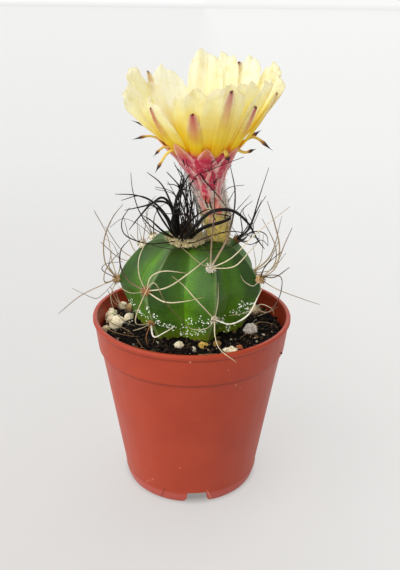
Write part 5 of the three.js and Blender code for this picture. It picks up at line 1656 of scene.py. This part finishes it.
outer = {
    "blades": (
        (-10, 22.2, 165.5, 6.5, -1, 1, 0, 0.1), (20, 27.8, 174.2, 6.5, -1.5, 1, 0, 0.2),
        (52, 24, 167.4, 6.5, -1.5, 1, 0, 0.15), (-47, 26, 166.9, 6.5, -1.5, 1, 0, 0.15),
        (79, 28, 171.2, 7, -1.5, 1, 0, 0.2), (149, 28, 180, 7, -1.5, 1, 0, 0.3),
        (-124, 27, 176.8, 7, -1.5, 1, 0, 0.3), (-162, 24, 168, 7, -1.5, 1, 0, 0.3),
        (172, 25, 170, 7, -1.5, 1, 0, 0.3), (121, 30.4, 175.4, 7, -1.5, 1, 0, 0.3),
    ),
    "footRadius": 13.6, "footHeight": 148.9, "outline": (0.7, 0.55, 0.62),
    "drop": 0.04, "jag": 0.0, "ruffle": 0.4, "fold": 0.16, "cells": (12, 24), "wider": 0.86,
}
sheet = {"thickness": 0.36, "sunk": 0.12, "sunkIn": 1.2, "sunkDown": 1.6}
throat = {"height": 148.4, "radius": 11.6, "thickness": 1.5, "colours": ((206, 62, 84), (234, 180, 76))}
curled = {
    "routes": (  # azimuth, then reach and rise of the bend and of the tip, from the middle of the bloom
        (-84, 20, 9, 28, 12.4), (-87, 20, 6, 28, 4.6), (-70, 16.4, 2.6, 20.4, -0.8), (-54, 17, 1, 22.6, -6),
        (82, 19.4, 6.4, 27.4, 1.4), (68, 17, 1.2, 22, 3), (34, 14.4, 3, 17.6, -1), (140, 18, 3, 25, 0),
        (170, 17, 4, 24, 5), (-165, 18, 2, 24, -3), (-130, 19, 6, 26, 8), (115, 18, 3, 26, 7),
    ),
    "roots": ((11.6, 1.6), (13.4, 2.4)), "points": 36,
    "radii": (1.25, 0.9), "knobAt": 0.76, "knob": 0.35, "knobWidth": 0.06, "taper": 0.94,
    "tones": ((0, (236, 190, 90)), (0.3, (244, 220, 110)), (0.64, (234, 200, 92)), (0.74, (150, 96, 44)),
              (0.81, (34, 22, 20)), (1, (46, 34, 32))),
}


def blade(row, form, footRadius, footHeight, seed):
    azimuth, tipRadius, tipHeight, width, bow, cup, twist, glow = row
    footShare, shoulder, tipCut = form["outline"]
    turn = math.radians(azimuth)

    def shape(a, b):
        v = 2 * a - 1
        jag = form["jag"] * (noise.noise(Vector((v * 2 + seed, seed * 0.7, 2)))
                             + 0.3 * noise.noise(Vector((v * 9 + seed, 4, seed)))
                             + 0.25 * noise.noise(Vector((v * 24 + seed, 7, seed))))
        u = b * (1 - form["drop"] * (1 + 0.5 * glow) * (1 - math.sqrt(1 - min(1, abs(v) ** 2.2))) + jag)
        if u < shoulder:
            outline = mix(footShare, 1, math.sin(u / shoulder * math.pi / 2))
        else:
            outline = 1 - tipCut * ((u - shoulder) / (1 - shoulder)) ** 2
        lift = bow * math.sin(math.pi * min(1, u))
        curlIn = cup * v * v * math.sin(math.pi * min(1, u + 0.1))
        half = v * width * 0.5 * outline * form["wider"]
        across = half * math.cos(math.radians(twist * u))
        fold = half * math.sin(math.radians(twist * u))
        fold += form["fold"] * math.sin(v * 8 + seed) * math.sin(math.pi * min(1, u)) ** 0.5
        fold += form["ruffle"] * u ** 3 * noise.noise(Vector((v * 1.7 + seed, u * 2.6, seed * 1.3)))
        fold += 0.6 * form["ruffle"] * u ** 6 * math.sin(v * 7 + seed * 2)
        fold += 0.7 * form["ruffle"] * u ** 10 * noise.noise(Vector((v * 6 + seed, 3, u * 3)))
        out = mix(footRadius, tipRadius, u) - lift * 0.5 - curlIn + fold * 0.8
        z = mix(footHeight, tipHeight, u) + lift * 0.6 - fold * 0.6
        if u < sheet["sunk"]:  # the foot bends down into the cup
            sunk = (sheet["sunk"] - u) / sheet["sunk"]
            out -= sheet["sunkIn"] * sunk
            z -= sheet["sunkDown"] * sunk
        return Vector((bloom["x"] + out * math.sin(turn) + across * math.cos(turn),
                       bloom["y"] - out * math.cos(turn) + across * math.sin(turn), z))
    obj = wrappedGrid(*form["cells"], shape)
    setShares(obj, "glow", [glow] * len(obj.data.vertices))
    return obj


def petalSheets():
    broad = []
    for index, (azimuth, tipRadius, *rest) in enumerate(inner["blades"]):
        outside = index % 2  # every other petal stands behind its neighbours
        row = (azimuth, tipRadius + inner["layerGap"] * (outside - 0.5), *rest)
        footRadius = inner["footRadius"] + inner["behind"] * outside
        broad.append(blade(row, inner, footRadius, inner["footHeight"], index * 3.7 + 1))
    broad = joined(broad)
    broad.data.materials.append(petalSilk("petalSilk"))
    narrow = joined([blade(row, outer, outer["footRadius"], outer["footHeight"], index * 5.3 + 2)
                     for index, row in enumerate(outer["blades"])])
    narrow.data.materials.append(petalSilk("tepalSilk", 0.95))
    sheets = joined([broad, narrow])
    applied(sheets, "SOLIDIFY", thickness=sheet["thickness"] * mm, offset=0)
    return shaded(weld(sheets, 1e-7))


def curledScales():
    strands = []
    for azimuth, reach, rise, tipReach, tipRise in curled["routes"]:
        route = []
        for out, up in (*curled["roots"], (reach, rise), (tipReach, tipRise)):
            route.append(polar(azimuth, out, bloom["z"] + up) + Vector((bloom["x"], bloom["y"], 0)))
        points, radii, twist, colours = spineStrand(route, 1, 1, curled["tones"], 0.4, curled["points"])
        for step in range(curled["points"]):  # a thick dark knob, and past it a thin point
            share = step / (curled["points"] - 1)
            knob = curled["knob"] * math.exp(-((share - curled["knobAt"]) / curled["knobWidth"]) ** 2)
            radii[step] = mix(*curled["radii"], smooth(0, 0.5, share)) * (1 + knob)
            radii[step] *= 1 - curled["taper"] * smooth(curled["knobAt"], 1, share) ** 0.8
        strands.append((points, radii, twist, colours))
    return strandMesh("curledScales", strands, 10, 0.5)


def makePetals():
    sheets = petalSheets()
    middle = (bloom["x"], bloom["y"], throat["height"])
    ring = roundRing(middle, throat["radius"], throat["thickness"], 64, 14)
    low, high = throat["colours"]
    setTint(ring, lambda place: rgb(*[mix(a, b, smooth(149, 150.2, place.z)) for a, b in zip(low, high)]))
    scales = curledScales()
    scaleLook = tinted("curledScale", 0.5, 0.0002)
    ring.data.materials.append(scaleLook)
    scales.data.materials.append(scaleLook)
    finishPiece(joined([sheets, ring, scales]), "petalWhorl", None, "petal", "petals")


stamens = {
    "count": 90, "middle": (4.3, -2, 0),
    "footRadius": 6.4, "footHeight": 144.6, "reach": (2.6, 10.4), "topHeight": 154.5, "topRise": 7.5,
    "thread": (0.16, 0.12), "threadTones": ((0, (214, 150, 70)), (1, (236, 204, 104))),
    "anther": (0.42, 0.42, 0.85), "antherColour": (226, 176, 60),
    "ringHeight": 144.9, "ringRadius": 7.4, "ringThickness": 1.0,
}
style = {
    "route": ((6.4, -2, 132.4), (5.4, -2, 142), (4.6, -2, 152), (4.4, -2, 161)),
    "radius": 1.0, "tipRadius": 0.9,
    "tones": ((0, (220, 190, 110)), (1, (236, 220, 140))),
    "lobes": 9, "lobeRoute": ((0, -1.4), (1.6, 0.6), (3.4, 3.4)), "lobeRadius": 0.5, "lobeTip": 0.28,
    "lobeTones": ((0, (232, 214, 130)), (1, (240, 232, 160))),
}


def makeStamens():
    strands, tips = [], []
    middle = Vector(stamens["middle"])
    for index in range(stamens["count"]):
        azimuth = 360 * chance(index * 3.1)
        footRadius = stamens["footRadius"] + 1.6 * chance(index * 1.3)
        foot = polar(azimuth, footRadius, stamens["footHeight"] + 1.4 * chance(index * 1.7))
        reach = mix(*stamens["reach"], chance(index + 31))
        height = stamens["topHeight"] + stamens["topRise"] * chance(index + 47)
        top = polar(azimuth + mix(-20, 20, chance(index * 2.3)), reach, height)
        route = [spot + middle for spot in (foot, foot.lerp(top, 0.5) + polar(azimuth, 1.2), top)]
        strands.append(spineStrand(route, *stamens["thread"], stamens["threadTones"], 0, 8))
        tips.append((route[-1], stamens["anther"], stamens["antherColour"], index * 1.9))
    threads = strandMesh("threads", strands, 4, 1)
    ringAt = (*stamens["middle"][:2], stamens["ringHeight"])
    ring = roundRing(ringAt, stamens["ringRadius"], stamens["ringThickness"], 56, 12)
    setTint(ring, lambda place: rgb(*stamens["threadTones"][0][1]))
    anthers = scattered("anthers", tips, 0.12)
    finishPiece(joined([threads, ring, anthers]), "stamenRing", tinted("pollen", 0.85), "stamen", "stamens")


def makeStyle():
    top = Vector(style["route"][-1])
    strands = [spineStrand(style["route"], style["radius"], style["tipRadius"], style["tones"], 0)]
    for index in range(style["lobes"]):
        route = [polar(360 * index / style["lobes"], out, up) + top for out, up in style["lobeRoute"]]
        strands.append(spineStrand(route, style["lobeRadius"], style["lobeTip"], style["lobeTones"], 0, 10))
    column = strandMesh("column", strands, 10, 1)
    finishPiece(column, "styleColumn", tinted("stigma", 0.6, 0.0002), "style", "style")


addCamera()
addLights()
addFloor()
makePot()
stemSkin = makeStem()
makeFlecks(stemSkin)
makeSoil()
makeCrumbs()
makeFibres()
makeGrains()
wool = makeAreoles()
black = makeCrown(wool)
makeBud(wool, black)
makeTube(wool, black)
makePetals()
makeStamens()
makeStyle()
